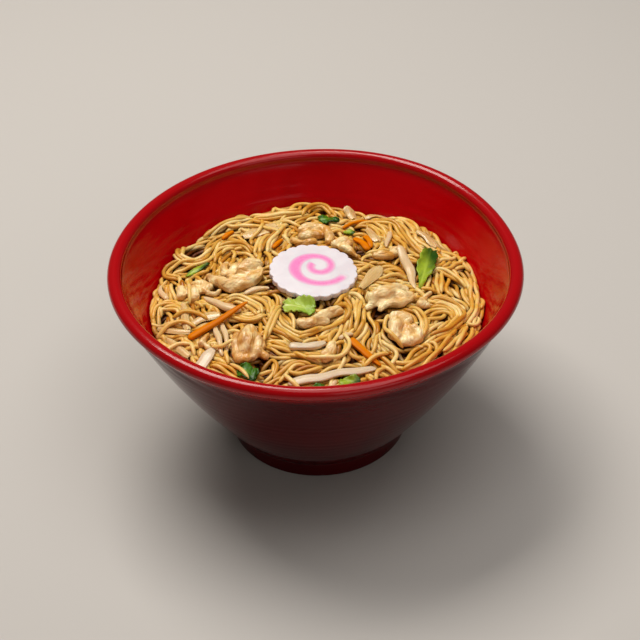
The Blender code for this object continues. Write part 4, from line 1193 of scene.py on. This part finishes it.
# %% The map of heights
NOODLE_RADIUS = 1.02 * MM
STACK_RADIUS = 0.88 * MM
CELL = 0.4 * MM
HALF_MAP = 0.088
CORE_DEPTH = 5.6 * MM
MAP_SIDE = int(2 * HALF_MAP / CELL)
spots = (np.arange(MAP_SIDE) + 0.5) * CELL - HALF_MAP
map_x, map_y = np.meshgrid(spots, spots, indexing="ij")


def cells_of(x, y):
    """Row and column of the map for arrays of places."""
    i = np.clip(((np.asarray(x) + HALF_MAP) / CELL).astype(int), 0, MAP_SIDE - 1)
    j = np.clip(((np.asarray(y) + HALF_MAP) / CELL).astype(int), 0, MAP_SIDE - 1)
    return i, j


def cell_of(x, y):
    """The same for one place."""
    return int((x + HALF_MAP) / CELL), int((y + HALF_MAP) / CELL)


def beside(cells, down, along):
    """The cells that lie some rows and columns from others."""
    return np.clip(cells[0] + down, 0, MAP_SIDE - 1), np.clip(cells[1] + along, 0, MAP_SIDE - 1)


heap_map = np.vectorize(heap_top)(map_x, map_y)
core_map = heap_map - CORE_DEPTH - 0.6 * MM * np.sin(map_x * 420.0) * np.sin(map_y * 380.0)
heights = core_map.copy()
roof = np.full((MAP_SIDE, MAP_SIDE), 9.0)
lid = np.full((MAP_SIDE, MAP_SIDE), -9.0)


def read_topping(item):
    """Adds the underside of a topping to the roof and its top to the lid, by rays through its mesh."""
    tree = BVHTree.FromObject(item, bpy.context.evaluated_depsgraph_get())
    places = np.array([tuple(vert.co) for vert in item.data.vertices])
    low_i, low_j = cells_of(places[:, 0].min(), places[:, 1].min())
    high_i, high_j = cells_of(places[:, 0].max(), places[:, 1].max())
    for i in range(int(low_i), int(high_i) + 1):
        for j in range(int(low_j), int(high_j) + 1):
            x, y = spots[i], spots[j]
            under = tree.ray_cast(Vector((x, y, 0.0)), Vector((0, 0, 1)))[0]
            over = tree.ray_cast(Vector((x, y, 0.2)), Vector((0, 0, -1)))[0]
            if under is not None and over is not None:
                roof[i, j] = min(roof[i, j], under.z)
                lid[i, j] = max(lid[i, j], over.z)


for name, item in PIECES.items():
    if name != "bowl_glazed":
        read_topping(item)
covered = roof < 1.0
print("Toppings cover", round(float(covered.mean() * (2 * HALF_MAP * 100) ** 2), 1), "square centimetres")


def disc(radius):
    """Offsets of the cells within a radius, and how far each is below the top of a ball of that radius."""
    reach = int(radius / CELL) + 1
    offsets = []
    for i in range(-reach, reach + 1):
        for j in range(-reach, reach + 1):
            away = math.hypot(i, j) * CELL
            if away < radius:
                offsets.append((i, j, math.sqrt(radius ** 2 - away ** 2)))
    return offsets


# Dark hollows between the strands: x, y, half length, half width, heading in degrees, all in plan and in mm.
HOLLOWS = (
    (-62, 42, 6.0, 4.6, 60), (-68.5, 27.5, 4.2, 1.8, 5), (-76, -11, 2.6, 4.2, 0), (-42, 4.5, 3.6, 2.4, -15),
    (25, 54, 1.8, 3.0, -20), (35, 53, 1.4, 2.8, 25), (60, -24, 4.4, 1.8, 40), (30, -19, 5.0, 3.4, 10),
    (37, -19.5, 5.0, 1.8, 12), (-24, -50.5, 4.2, 3.2, 30), (23, 33, 2.6, 2.8, 0), (-29, -52, 3.0, 3.0, 0),
    (2, -13.5, 6.0, 2.0, -8), (39, -39.5, 3.6, 1.8, 0), (-9, -33, 1.8, 3.4, -30), (-23, 3, 1.8, 4.5, 20),
    (-48, 7, 2.6, 1.6, -30), (-70, 8, 1.2, 3.4, 0), (18, -42, 2.4, 1.8, 40), (52, -15, 2.8, 1.6, 30),
    (-2, 74.5, 2.2, 1.6, 0), (4, 73.5, 1.6, 2.4, 0), (-36, 68, 2.6, 2.0, 0), (-14, 74, 2.4, 1.4, 0),
)
hollow = np.zeros((MAP_SIDE, MAP_SIDE), dtype=bool)
for x, y, long_half, short_half, heading in HOLLOWS:
    turn = math.radians(heading)
    dx = map_x / MM - x
    dy = map_y / MM - y
    along = (dx * math.cos(turn) + dy * math.sin(turn)) / long_half
    across = (-dx * math.sin(turn) + dy * math.cos(turn)) / short_half
    hollow |= along ** 2 + across ** 2 < 1.0

BALL = disc(STACK_RADIUS)
SHADOW = disc(NOODLE_RADIUS + 0.30 * MM)

# A roof for the middle of a noodle: low wherever a noodle there would touch a topping.
roof_near = np.full_like(roof, 9.0)
for i, j, _ in SHADOW:
    roof_near = np.minimum(roof_near, np.roll(np.roll(roof, i, 0), j, 1))

# %% [markdown]
# ### Routes
# The strands that catch the eye in the photograph are drawn in plan and in millimetres: the loop
# at the back left, the long arcs on the right, the wave in front of the slice. The number in front says
# how many strands run side by side. The rest follow their neighbours: a strand placed anywhere looks at
# the drawn routes around it and takes the same direction.

# %% Drawn routes
HANKS = (
    (3, (-46, 61), (-54, 60), (-62.5, 55.5), (-69, 49), (-71, 42), (-68.5, 35), (-62.5, 31.5), (-56, 34),
     (-52.5, 41), (-50.5, 48), (-47.5, 56)),
    (2, (-57, 31), (-63, 32.5), (-69, 32.5), (-74.5, 29.5), (-76, 25), (-73.5, 20.5), (-68, 19)),
    (1, (-58, 28), (-65, 26.5), (-70, 25), (-73, 22)),
    (4, (-60, 54), (-55, 60), (-48, 66), (-40, 70.5), (-32, 73)),
    (1, (-30, 75), (-32, 68), (-36, 62.5), (-41, 60.5), (-45, 63), (-46.5, 68)),
    (4, (-55, 28), (-53.5, 36), (-50.5, 43), (-45.5, 46.5), (-39.5, 45), (-34.5, 40.5), (-31, 36)),
    (1, (-51, 28), (-49.5, 35), (-46.5, 41), (-42, 43)),
    (4, (-34, 69), (-26, 68.5), (-17, 67.5), (-9, 68.5), (-4, 71.5)),
    (1, (-22, 74), (-20, 78), (-17.5, 74.5), (-13.5, 73), (-9.5, 78), (-3, 80), (3, 80)),
    (2, (-4, 66), (-3.5, 72), (-0.5, 77), (4.5, 78.5), (8.8, 75), (10, 68.5)),
    (4, (-27, 32), (-24.5, 40), (-20.5, 49), (-17, 58), (-13, 64)),
    (1, (-20, 36), (-17, 44), (-15, 52), (-12, 58)),
    (2, (-33, 34), (-30, 42), (-27, 50), (-24, 58), (-19, 66)),
    (5, (20, 65), (29, 67.5), (37, 66), (43.5, 61), (47, 54), (50, 45), (54.5, 37), (60, 31)),
    (1, (40, 70), (48, 66), (52.5, 58), (54.5, 50), (59, 43.5), (65, 38), (71.5, 33), (76, 26), (78, 18)),
    (1, (69, 36), (73, 37.5), (75, 33), (74, 28), (71, 24)),
    (4, (27, 60), (33, 54), (35, 47), (35, 41), (31, 35)),
    (2, (38, 62), (39, 54), (41, 47), (44, 41), (46, 34), (45, 28)),
    (2, (22, 56), (26, 50), (28, 44), (29, 38)),
    (1, (75, 26), (71, 24), (66, 20), (61, 18)),
    (2, (58, 16), (61, 18.5), (66, 15), (71, 10), (74, 3)),
    (2, (63, 19), (61, 12), (60, 5), (61, -2)),
    (4, (77, 16), (78, 8), (78, -2), (76.5, -11), (73.5, -18), (71, -24)),
    (1, (76, -14), (78.5, -19), (77, -23.5), (73, -23.5), (70, -20)),
    (5, (51, -10), (58, -7.5), (65, -9), (69.5, -15), (69, -23), (64, -29.5), (57, -34.5), (50, -39)),
    (2, (52, -21), (56.5, -16), (62, -15.5), (65.5, -19), (64.5, -25)),
    (4, (48, -40), (55, -35), (61, -29), (65.5, -22)),
    (2, (44, -13), (48.5, -16.5), (50.5, -23), (51, -30), (50, -37), (46, -41)),
    (2, (33, -52), (41, -54), (49, -51), (54, -46), (53.5, -41), (48, -40), (42, -43)),
    (1, (30, -34), (31.5, -41), (36, -46.5), (34.5, -53), (30, -57)),
    (2, (26, -45), (29, -51), (33, -56.5), (38, -61)),
    (4, (70, -27), (66, -34), (60, -42), (52, -50), (44, -56), (36, -60)),
    (2, (74, -25), (72, -32), (66, -41)),
    (4, (-22, -12), (-21.5, -22), (-17.5, -31), (-11, -37), (-3, -39)),
    (1, (-25, -40), (-21, -30), (-18.5, -21), (-17, -12)),
    (1, (-19, -34), (-14.5, -39), (-11, -45), (-6.5, -50.5), (1, -52), (8.5, -50.5), (13, -46), (13, -40),
     (10, -35), (5, -33)),
    (2, (-25, -39), (-18, -43), (-12, -45.5), (-6, -46)),
    (2, (-9, -37), (-3, -36), (2, -32), (8, -28), (13.5, -23), (16.5, -16)),
    (2, (-20, -64), (-15, -57.5), (-10, -52.5), (-3, -53)),
    (1, (-26, -57), (-21, -49.5), (-18.5, -54), (-20.5, -62)),
    (1, (-15, -58), (-9, -60), (-2, -57), (3, -53.5)),
    (2, (12, -9), (15, -17), (15, -26), (13.5, -34)),
    (4, (20, -9), (19.5, -18), (18.5, -27), (16, -35)),
    (2, (21, -10), (21.5, -20), (22.5, -28), (20, -35), (14, -38)),
    (1, (14, -42), (16, -48.5), (20, -50.5), (22.5, -46.5), (20, -41)),
    (1, (2, -6), (2, -12), (0, -17)),
    (2, (-76, 20), (-78.5, 10), (-78.5, 0), (-79, -9), (-76.5, -18), (-71.5, -27), (-66, -35)),
    (4, (-79, -12), (-77.5, -5), (-72, -3), (-66.5, -5), (-64.5, -11), (-66, -17)),
    (4, (-75, 18), (-75.5, 10), (-73.5, 2), (-72, -3)),
    (2, (-68, 18), (-67, 10), (-65, 2), (-63.5, -6), (-61.5, -14), (-59, -20)),
    (2, (-70, -17), (-63, -20), (-56, -21.5), (-50, -20)),
    (2, (-74, -21), (-68, -25.5), (-61, -26.5), (-54, -25)),
    (2, (-63, -28), (-61, -35), (-58, -43)),
    (2, (-56, -27), (-54, -35), (-50, -44), (-44, -51)),
    (4, (-44, -12), (-38, -18), (-31, -20.5), (-24, -17.5)),
    (4, (-45, -6), (-39, -4), (-33, -7.5), (-28, -13), (-25, -21)),
    (2, (-50, -48), (-42, -54), (-34, -60), (-25, -65)),
    (4, (-56, -53), (-44, -63), (-30, -71), (-14, -75.5), (4, -77), (20, -74), (36, -67)),
)
# Strands that cross a topping, laid last, one route each.
LAID_OVER = (
    ((-64.5, 17), (-63, 10), (-62.2, 2), (-61.8, -5)),
    ((-17, -13), (-20.5, -22), (-23.5, -31), (-25, -40)),
    ((35, -22), (32.4, -27), (32.2, -33), (35, -38.5), (40, -43)),
    ((44.5, -14.5), (48.8, -18), (51.4, -24), (51.8, -31), (50, -37)),
    ((9, -14), (14.5, -17.5), (15.5, -23), (12.5, -28)),
    ((-70, -12.5), (-64, -11), (-58, -13.5), (-52.5, -18.5)),
    ((-78, -25), (-71, -19.5), (-64, -18.6), (-58, -22.5)),
    ((-73, -37), (-66, -33.4), (-60, -34.5)),
    ((-41, -50), (-36.5, -55), (-32, -62)),
    ((12, -35), (15, -42), (12.5, -49.5), (4, -52.5), (-6, -50.5)),
    ((-50, -38.5), (-45, -40.5), (-39, -38.5)),
    ((-40, 61), (-32, 59.5), (-25, 56), (-18, 50)),
    ((-34, 48), (-29, 53.5), (-27, 60), (-28, 66)),
    ((-16, -60), (-12.5, -65), (-8, -70)),
    ((21, -56), (26.5, -50.5), (33, -48)),
)
HANK_PITCH = 2.3 * MM
ROUTE_STEP = 1.2 * MM
BEND = 0.45 * MM
WOBBLE_REACH = 0.42 * MM
WOBBLE_WAVE = 30 * MM
CUT_SHARE = 0.14


def sideways(route):
    ahead = np.gradient(route, axis=0)
    ahead /= np.linalg.norm(ahead, axis=1)[:, None] + 1e-12
    return np.stack([-ahead[:, 1], ahead[:, 0]], axis=1)


def wobble(count, draw):
    """A slow random sway along a strand."""
    place = np.arange(count) * ROUTE_STEP
    sway = np.zeros(count)
    for part in (1.0, 0.55):
        wave = WOBBLE_WAVE * part * draw.uniform(0.8, 1.25)
        sway += part * np.sin(2 * math.pi * place / wave + draw.uniform(0, 6.28))
    return WOBBLE_REACH * sway


def hank_strand(points, offset, draw):
    """One strand of a hank: beside its neighbours, but with bends of its own, and sometimes across them."""
    chosen = np.array(points) * MM
    chosen = chosen + np.array([(draw.gauss(0.0, BEND), draw.gauss(0.0, BEND)) for _ in points])
    middle = curve_through(chosen, ROUTE_STEP)
    crosses = draw.choice((1.0, 1.0, 1.0, 0.6, -0.8))
    share = np.linspace(0.0, 1.0, len(middle))
    aside = offset * (1.0 + (crosses - 1.0) * share ** 2 * (3.0 - 2.0 * share))
    aside = aside + wobble(len(middle), draw)
    cut_start = int(draw.uniform(0.0, CUT_SHARE) * len(middle))
    cut_end = int(draw.uniform(0.0, CUT_SHARE) * len(middle))
    return (middle + sideways(middle) * aside[:, None])[cut_start:len(middle) - cut_end]


draw = random.Random(23)
hand_routes = []
for count, *points in HANKS:
    for k in range(count):
        hand_routes.append(hank_strand(points, (k - (count - 1) / 2) * HANK_PITCH, draw))
print(len(hand_routes), "strands are drawn by hand")

# %% [markdown]
# ### Directions for the other strands
# Two neighbouring strands may run the same way or the opposite way and still lie side by side, so what is
# averaged is the line and not the arrow: the angle is doubled first and halved at the end.

# %% The field of directions
FIELD_STEP = 2.0 * MM
FIELD_REACH = 5.5 * MM
WALL_SHARE = 0.05
field_side = int(2 * HALF_MAP / FIELD_STEP)
field_spots = (np.arange(field_side) + 0.5) * FIELD_STEP - HALF_MAP
field_x, field_y = np.meshgrid(field_spots, field_spots, indexing="ij")
radius_map = np.hypot(field_x, field_y) + 1e-9
wall_pull = np.clip(radius_map / HEAP_RADIUS, 0.0, 1.0) ** 3
round_angle = np.arctan2(field_x, -field_y)
double_cos = WALL_SHARE * (wall_pull * np.cos(2 * round_angle) + 0.3)
double_sin = WALL_SHARE * (wall_pull * np.sin(2 * round_angle) - 0.1)
for route in hand_routes:
    thin = route[::3]
    ahead = np.gradient(thin, axis=0)
    angle = np.arctan2(ahead[:, 1], ahead[:, 0])
    for (x, y), turn in zip(thin, angle):
        pull = np.exp(-((field_x - x) ** 2 + (field_y - y) ** 2) / FIELD_REACH ** 2)
        double_cos += pull * math.cos(2 * turn)
        double_sin += pull * math.sin(2 * turn)
line_angle = 0.5 * np.arctan2(double_sin, double_cos)
line_cos = np.cos(2 * line_angle)
line_sin = np.sin(2 * line_angle)


def line_at(x, y):
    """Direction of the noodles at a place, between the four nearest values of the field."""
    u = min(max((x + HALF_MAP) / FIELD_STEP - 0.5, 0.0), field_side - 1.001)
    v = min(max((y + HALF_MAP) / FIELD_STEP - 0.5, 0.0), field_side - 1.001)
    i, j = int(u), int(v)
    a, b = u - i, v - j
    weights = ((1 - a) * (1 - b), a * (1 - b), (1 - a) * b, a * b)
    corners = ((i, j), (i + 1, j), (i, j + 1), (i + 1, j + 1))
    c = sum(w * line_cos[p] for w, p in zip(weights, corners))
    s = sum(w * line_sin[p] for w, p in zip(weights, corners))
    return 0.5 * math.atan2(s, c)


# %% Routes that follow the field
TRACE_STEP = 1.5 * MM
WALL_ROOM = HEAP_RADIUS - 1.0 * MM
SWAY = 0.42
SHARPEST_TURN = 0.34
EAGERNESS = 0.6
LONGEST = 0.110


def trace(start, longest, turned, busy, draw):
    """Follows the field both ways from a place, until a strand or the wall is in the way."""
    sway_phase = draw.uniform(0.0, 6.28)
    sway_wave = draw.uniform(16.0, 30.0) * MM
    halves = []
    for way in (0.0, math.pi):
        x, y = start
        heading = line_at(x, y) + turned + way
        half = []
        while len(half) * TRACE_STEP < longest / 2:
            sway = SWAY * math.sin(2 * math.pi * len(half) * TRACE_STEP / sway_wave + sway_phase + way)
            target = line_at(x, y) + turned + sway
            turn = (target - heading + math.pi / 2) % math.pi - math.pi / 2
            heading += max(-SHARPEST_TURN, min(SHARPEST_TURN, EAGERNESS * turn))
            x += TRACE_STEP * math.cos(heading)
            y += TRACE_STEP * math.sin(heading)
            r = math.hypot(x, y)
            if r > WALL_ROOM:
                x, y = x * WALL_ROOM / r, y * WALL_ROOM / r
                along_wall = math.atan2(y, x) + math.pi / 2
                heading = along_wall if math.cos(heading - along_wall) > 0 else along_wall + math.pi
            if busy[cell_of(x, y)]:
                break
            half.append((x, y))
        halves.append(half)
    return np.array(list(reversed(halves[1])) + [start] + halves[0])


def mark(busy, route, offsets):
    cells = cells_of(route[:, 0], route[:, 1])
    for down, along, _ in offsets:
        busy[beside(cells, down, along)] = True


def anywhere(reach, draw):
    """A random place in plan, as likely in one part of the heap as in another."""
    r = reach * math.sqrt(draw.random())
    a = draw.uniform(0, 2 * math.pi)
    return r * math.cos(a), r * math.sin(a)


def fill_layer(turned, apart, busy, tries, shortest_runs, draw):
    """Covers the free part of the bowl with strands side by side, the long ones first."""
    offsets = disc(apart)
    routes = []
    for shortest in shortest_runs:
        for _ in range(tries):
            start = anywhere(WALL_ROOM, draw)
            if busy[cell_of(*start)]:
                continue
            route = trace(start, LONGEST, turned + draw.gauss(0.0, 0.20), busy, draw)
            if len(route) * TRACE_STEP < shortest:
                continue
            mark(busy, route, offsets)
            routes.append(even(route, ROUTE_STEP))
    return routes


print("The noodles beside the middle of the slice run at", round(math.degrees(line_at(0.03, 0.0))), "degrees")


# %% [markdown]
# ### Laying the strands down
# A strand rests where its underside first touches the heap. It is stiff, so it bridges small gaps, and it
# is soft, so it settles a little into what it lies on. Under a topping it is pressed down, and near the
# wall it is pushed inwards. Then the map of heights learns where it lies.

# %% Laying one strand
SETTLE = 0.26 * MM
SINK = 0.55 * MM
STEEPEST = 0.75
BRIDGE = 1.8
SOFTEN = 1.1
WALL_GAP = 0.9 * MM
DIVE_DEPTH = 1.0 * MM
DIVE_LENGTH = 2.0 * MM
SHORTEST_VISIBLE = 9 * MM
STRANDS = []


def smooth_along(values, spread):
    """A moving average along the strand, in points."""
    reach = int(3 * spread)
    weights = np.exp(-0.5 * (np.arange(-reach, reach + 1) / spread) ** 2)
    weights /= weights.sum()
    padded = np.r_[np.full(reach, values[0]), values, np.full(reach, values[-1])]
    return np.convolve(padded, weights, mode="valid")


def lay(route, over=False):
    """Heights of a strand's middle along its route."""
    cells = cells_of(route[:, 0], route[:, 1])
    rest = np.full(len(route), -9.0)
    under = np.maximum(heights, lid) if over else heights
    for down, along, rise in BALL:
        rest = np.maximum(rest, under[beside(cells, down, along)] + rise)
    widest = np.max([np.roll(rest, k) for k in (-1, 0, 1)], axis=0)
    widest[0], widest[-1] = rest[0], rest[-1]
    z = np.maximum(smooth_along(widest, BRIDGE) - SETTLE, rest - SINK)
    if not over:
        limit = roof_near[cells] - NOODLE_RADIUS
        fall = STEEPEST * ROUTE_STEP
        for k in range(1, len(limit)):
            limit[k] = min(limit[k], limit[k - 1] + fall)
        for k in range(len(limit) - 2, -1, -1):
            limit[k] = min(limit[k], limit[k + 1] + fall)
        z = np.minimum(z, limit)
    return smooth_along(z, SOFTEN)


def settle(route, z):
    """Writes a strand into the map of heights."""
    cells = cells_of(route[:, 0], route[:, 1])
    for down, along, rise in BALL:
        np.maximum.at(heights, beside(cells, down, along), z + rise)


def off_the_wall(route, z):
    """The route with its points moved off the wall of the bowl."""
    x, y = route[:, 0], route[:, 1]
    r = np.hypot(x, y) + 1e-9
    most = np.array([inner_radius(h) for h in z]) - NOODLE_RADIUS - WALL_GAP
    pull = np.minimum(1.0, most / r)
    return np.stack([x * pull, y * pull], axis=1)


def longest_run(good):
    """Start and end of the longest run of true values."""
    best, start = (0, 0), None
    for k, fine in enumerate(list(good) + [False]):
        if fine and start is None:
            start = k
        if not fine and start is not None:
            if k - start > best[1] - best[0]:
                best = (start, k)
            start = None
    return best


def strand_tone(draw, middle):
    """How brown a strand is, 0 pale to 1 brown with sauce, at random round a middle set browner for lower
    layers as painted shade.
    """
    return min(max(draw.gauss(middle, 0.28), 0.0), 1.0)


def lay_strand(route, tone, ceiling, over=False, arch=0.0):
    """Lays a strand, cuts off what would stand too high, and keeps it."""
    z = lay(route, over)
    z = z + arch * np.sin(np.linspace(0.0, math.pi, len(z))) ** 2
    good = z + NOODLE_RADIUS < heap_map[cells_of(route[:, 0], route[:, 1])] + ceiling
    start, end = longest_run(good)
    if (end - start) * ROUTE_STEP < SHORTEST_VISIBLE:
        return
    route, z = route[start:end], z[start:end]
    dive = np.exp(-np.arange(len(z)) * ROUTE_STEP / DIVE_LENGTH)
    z = z - DIVE_DEPTH * (dive + dive[::-1])
    route = off_the_wall(route, z)
    settle(route, z)
    STRANDS.append((np.column_stack([route, z]), tone))


print("A strand settles", round(SETTLE / MM, 2), "mm into what it lies on")


# %% [markdown]
# ### The order of laying
# Two layers run across the heap first and fill it. The third layer holds the listed hanks, and the
# strands that fill the room between them run along with them. A few last strays cross on top.

# %% Lay all the strands
TOP_UP_LONGEST = 0.070
TOP_UP_SHORTEST = 8 * MM
UNDER_LAYERS = (math.radians(64), math.radians(-38), math.radians(20), math.radians(-70))
UNDER_CEILING = -1.3 * MM
FILL_CEILING = 0.8 * MM
HAND_CEILING = 2.6 * MM
STRAY_CEILING = 1.8 * MM
STRAYS = 100
CURLS = 36


def top_up(short, most, draw):
    """Adds strands where the heap still stands too low, along the field."""
    added = 0
    free = (np.hypot(map_x, map_y) < WALL_ROOM) & ~covered & ~hollow
    i, j = np.nonzero((heap_map - heights > short) & free)
    order = list(range(len(i)))
    draw.shuffle(order)
    for k in order:
        start = (spots[i[k]], spots[j[k]])
        if added == most or heap_map[i[k], j[k]] - heights[i[k], j[k]] < short:
            continue
        busy = hollow | (heap_map - heights < 0.6 * short)
        route = trace(start, TOP_UP_LONGEST, draw.gauss(0.0, 0.25), busy, draw)
        if len(route) * TRACE_STEP < TOP_UP_SHORTEST:
            continue
        lay_strand(even(route, ROUTE_STEP), strand_tone(draw, 0.5), ceiling=0.4 * MM)
        added += 1
    return added


def curl(draw):
    """A short strand bent round in an arc, anywhere on the heap."""
    x, y = anywhere(0.076, draw)
    bow = draw.uniform(4.5, 10.0) * MM
    start = draw.uniform(0, 2 * math.pi)
    turns = np.linspace(start, start + draw.uniform(1.6, 4.2), 12)
    arc_x = x + bow * np.cos(turns) * (1.0 + 0.12 * turns)
    arc_y = y + bow * np.sin(turns)
    return curve_through(np.stack([arc_x, arc_y], axis=1), ROUTE_STEP)


# Lower layers get a browner middle tone than upper ones: painted shade below the top strands.
for number, turned in enumerate(UNDER_LAYERS):
    taken = hollow.copy() if number > 1 else np.zeros_like(hollow)
    for route in fill_layer(turned, 1.8 * MM, taken, 2400, (0.045, 0.025, 0.012), draw):
        lay_strand(route, strand_tone(draw, 0.75), ceiling=UNDER_CEILING)
under_count = len(STRANDS)
busy = hollow.copy()
for route in hand_routes:
    mark(busy, route, disc(1.5 * MM))
for route in fill_layer(0.0, 2.1 * MM, busy, 4200, (0.045, 0.028, 0.016, 0.009), draw):
    lay_strand(route, strand_tone(draw, 0.40), ceiling=FILL_CEILING)
print("Topped up with", top_up(2.4 * MM, 420, draw), "strands")
fill_count = len(STRANDS)
for route in hand_routes:
    lay_strand(route, strand_tone(draw, 0.30), ceiling=HAND_CEILING)
for _ in range(STRAYS):
    start = anywhere(0.079, draw)
    turned = draw.choice((-1, 1)) * draw.uniform(0.30, 1.2)
    route = trace(start, draw.uniform(0.016, 0.042), turned, hollow, draw)
    tone = strand_tone(draw, 0.25)
    lay_strand(even(route, ROUTE_STEP), tone, ceiling=STRAY_CEILING, arch=draw.uniform(0.0, 1.2) * MM)
for _ in range(CURLS):
    route = curl(draw)
    if hollow[cells_of(route[:, 0], route[:, 1])].any():
        continue
    tone = strand_tone(draw, 0.2)
    lay_strand(route, tone, ceiling=STRAY_CEILING, arch=draw.uniform(0.2, 1.0) * MM)
for points in LAID_OVER:
    route = curve_through(np.array(points) * MM, ROUTE_STEP)
    lay_strand(route, strand_tone(draw, 0.2), over=True, ceiling=9 * MM)
total = sum(len(line) for line, _ in STRANDS) * ROUTE_STEP
print(len(STRANDS), "strands,", under_count, "of them below,", round(total, 1), "m in all")
open_cells = (np.hypot(map_x, map_y) < 0.080) & ~covered
gap = (heights - heap_map)[open_cells] / MM
print("Top of the noodles against the heap's height, mm:", np.percentile(gap, [5, 25, 50, 75, 95]).round(2))


# %% [markdown]
# ### The dark core
# Below the strands that can be seen, a closed core fills the bowl. It is painted dark brown as shade, and
# shows only as shade between the noodles.

# %% The core
CORE_RINGS = 34
CORE_SPOKES = 96
CORE_RADIUS = 0.0795
CORE_WALL_GAP = 1.6 * MM
CORE_BOTTOM_Z = 0.0165


def core_top(x, y):
    return heap_top(x, y) - CORE_DEPTH - 0.4 * MM


rings = [(CORE_RADIUS * (k / CORE_RINGS), None) for k in range(1, CORE_RINGS + 1)]
rings += [(inner_radius(z) - CORE_WALL_GAP, z) for z in (0.060, 0.050, 0.040, 0.030)]
core_points = [(0.0, 0.0, core_top(0.0, 0.0))]
for r, z in rings:
    for a in (2 * math.pi * s / CORE_SPOKES for s in range(CORE_SPOKES)):
        x, y = r * math.cos(a), r * math.sin(a)
        core_points.append((x, y, core_top(x, y) if z is None else z))
core_points.append((0.0, 0.0, CORE_BOTTOM_Z))
bottom = len(core_points) - 1
last = bottom - CORE_SPOKES
core_faces = [face[::-1] for face in tube_faces(len(rings), CORE_SPOKES, 1)[:-2]]
for s in range(CORE_SPOKES):
    after = (s + 1) % CORE_SPOKES
    core_faces += [(0, 1 + s, 1 + after), (bottom, last + after, last + s)]
core = new_mesh_object("noodle_core", core_points, core_faces)
# The core's dark brown is painted shade.
finish_piece(core, "noodle_core", Look("noodle_shade", rgb(92, 44, 0), 0.9).material, ["noodles"])
print("The core has", len(core.data.polygons), "faces")


# %% [markdown]
# ### Strands into a mesh
# Every strand gets its rings of points from the same few lines of arithmetic. The section is a rounded
# square a little wider than high, it turns slowly along the strand, and its ends are rounded off.

# %% Mesh of the strands
NOODLE_WIDE = 1.08 * MM
NOODLE_HIGH = 0.95 * MM
NOODLE_POWER = 2.6
TWIST = 0.22
UNEVEN = 0.035
UNEVEN_WAVE = 7.0 * MM
DEPTH_SHADE_START = 1.6 * MM
DEPTH_SHADE_SPAN = 2.2 * MM
TAPER_SHARES = (0.35, 0.72, 0.92)


def strands_mesh(name, strands, sides, step, draw):
    """One mesh object holding many strands."""
    angle, swell = section(sides, NOODLE_POWER)
    swell = swell / swell.mean()
    wide = NOODLE_WIDE * np.cos(angle)[None, :]
    high = NOODLE_HIGH * np.sin(angle)[None, :]
    points, faces, tones, depth_shaded = [], [], [], []
    base = 0
    for line, tone in strands:
        line = even(line, step)
        n = len(line)
        place = np.arange(n) * step
        turn = draw.uniform(0, 6.28) + place / (draw.uniform(18, 40) * MM)
        size = np.full(n, draw.uniform(0.93, 1.07))
        size = size * (1.0 + UNEVEN * np.sin(place / UNEVEN_WAVE + draw.uniform(0, 6.28)))
        for k, share in enumerate(TAPER_SHARES):
            if n > 2 * len(TAPER_SHARES) + 1:
                size[k] *= share
                size[n - 1 - k] *= share
        corner = swell[None, :] * size[:, None]
        sway = TWIST * np.sin(turn)[:, None]
        around = (wide * np.cos(sway) - high * np.sin(sway)) * corner
        above = (wide * np.sin(sway) + high * np.cos(sway)) * corner
        points.append(rings_along(line, around, above))
        faces.extend(tube_faces(n, sides, base))
        tones.append(np.full(n * sides, tone))
        # Painted shade: strands that lie deep below the heap's top turn dark brown.
        below = heap_map[cells_of(line[:, 0], line[:, 1])] - line[:, 2]
        depth_shaded.append(np.repeat(np.clip((below - DEPTH_SHADE_START) / DEPTH_SHADE_SPAN, 0.0, 1.0), sides))
        base += n * sides
    item = new_mesh_object(name, np.vstack(points).tolist(), faces)
    paint(item, "tone", np.concatenate(tones))
    paint(item, "depth_shade", np.concatenate(depth_shaded))
    triangles = sum(len(p.vertices) - 2 for p in item.data.polygons)
    print(name, "has", len(strands), "strands and", triangles, "triangles")
    return item


# %% The look of the noodles, and all of them in place
# The last tone is the dark brown painted as shade on strands deep in the heap.
NOODLE_TONES = (rgb(242, 216, 148), rgb(228, 182, 84), rgb(182, 120, 18), rgb(92, 42, 0))


def noodle_look(light, middle, dark, shade_tone):
    """Egg noodles: a pale golden body, painted dark brown as shade where they lie deep in the heap, with a
    wet film on top.
    """
    look = Look("noodles_cooked", rgb(205, 148, 70), 0.38)
    look.flesh(0.22, 0.0012, (1.0, 0.45, 0.15))
    look.fix("Coat Roughness", 0.28)
    look.fix("Specular IOR Level", 0.26)
    patches, grain, height = look.patches(95.0, 700.0)
    tone = look.painted("tone")
    depth_shade = look.painted("depth_shade")
    pale = look.mix(look.scaled(tone, 0.0, 2.0), light, middle)
    strand = look.mix(look.scaled(tone, -1.0, 1.0), pale, dark)
    browner = look.mix(1.0, strand, rgb(240, 212, 138), "MULTIPLY")
    colour = look.mix(patches, strand, browner)
    look.feed("Base Color", look.mix(depth_shade, colour, shade_tone))
    look.feed("Coat Weight", look.scaled(depth_shade, 0.28, 0.0))
    look.feed("Roughness", look.scaled(grain, 0.30, 0.46))
    look.bump(height, 0.07, 0.0004)
    return look.material


noodle_material = noodle_look(*NOODLE_TONES)
LAYERS = (
    ("noodles_under", STRANDS[:under_count], 6, 1.8 * MM),
    ("noodles_fill", STRANDS[under_count:fill_count], 8, 1.2 * MM),
    ("noodles_top", STRANDS[fill_count:], 8, 1.1 * MM),
)
for name, strands, sides, step in LAYERS:
    item = strands_mesh(name, strands, sides, step, draw)
    finish_piece(item, name, noodle_material, ["noodles"])
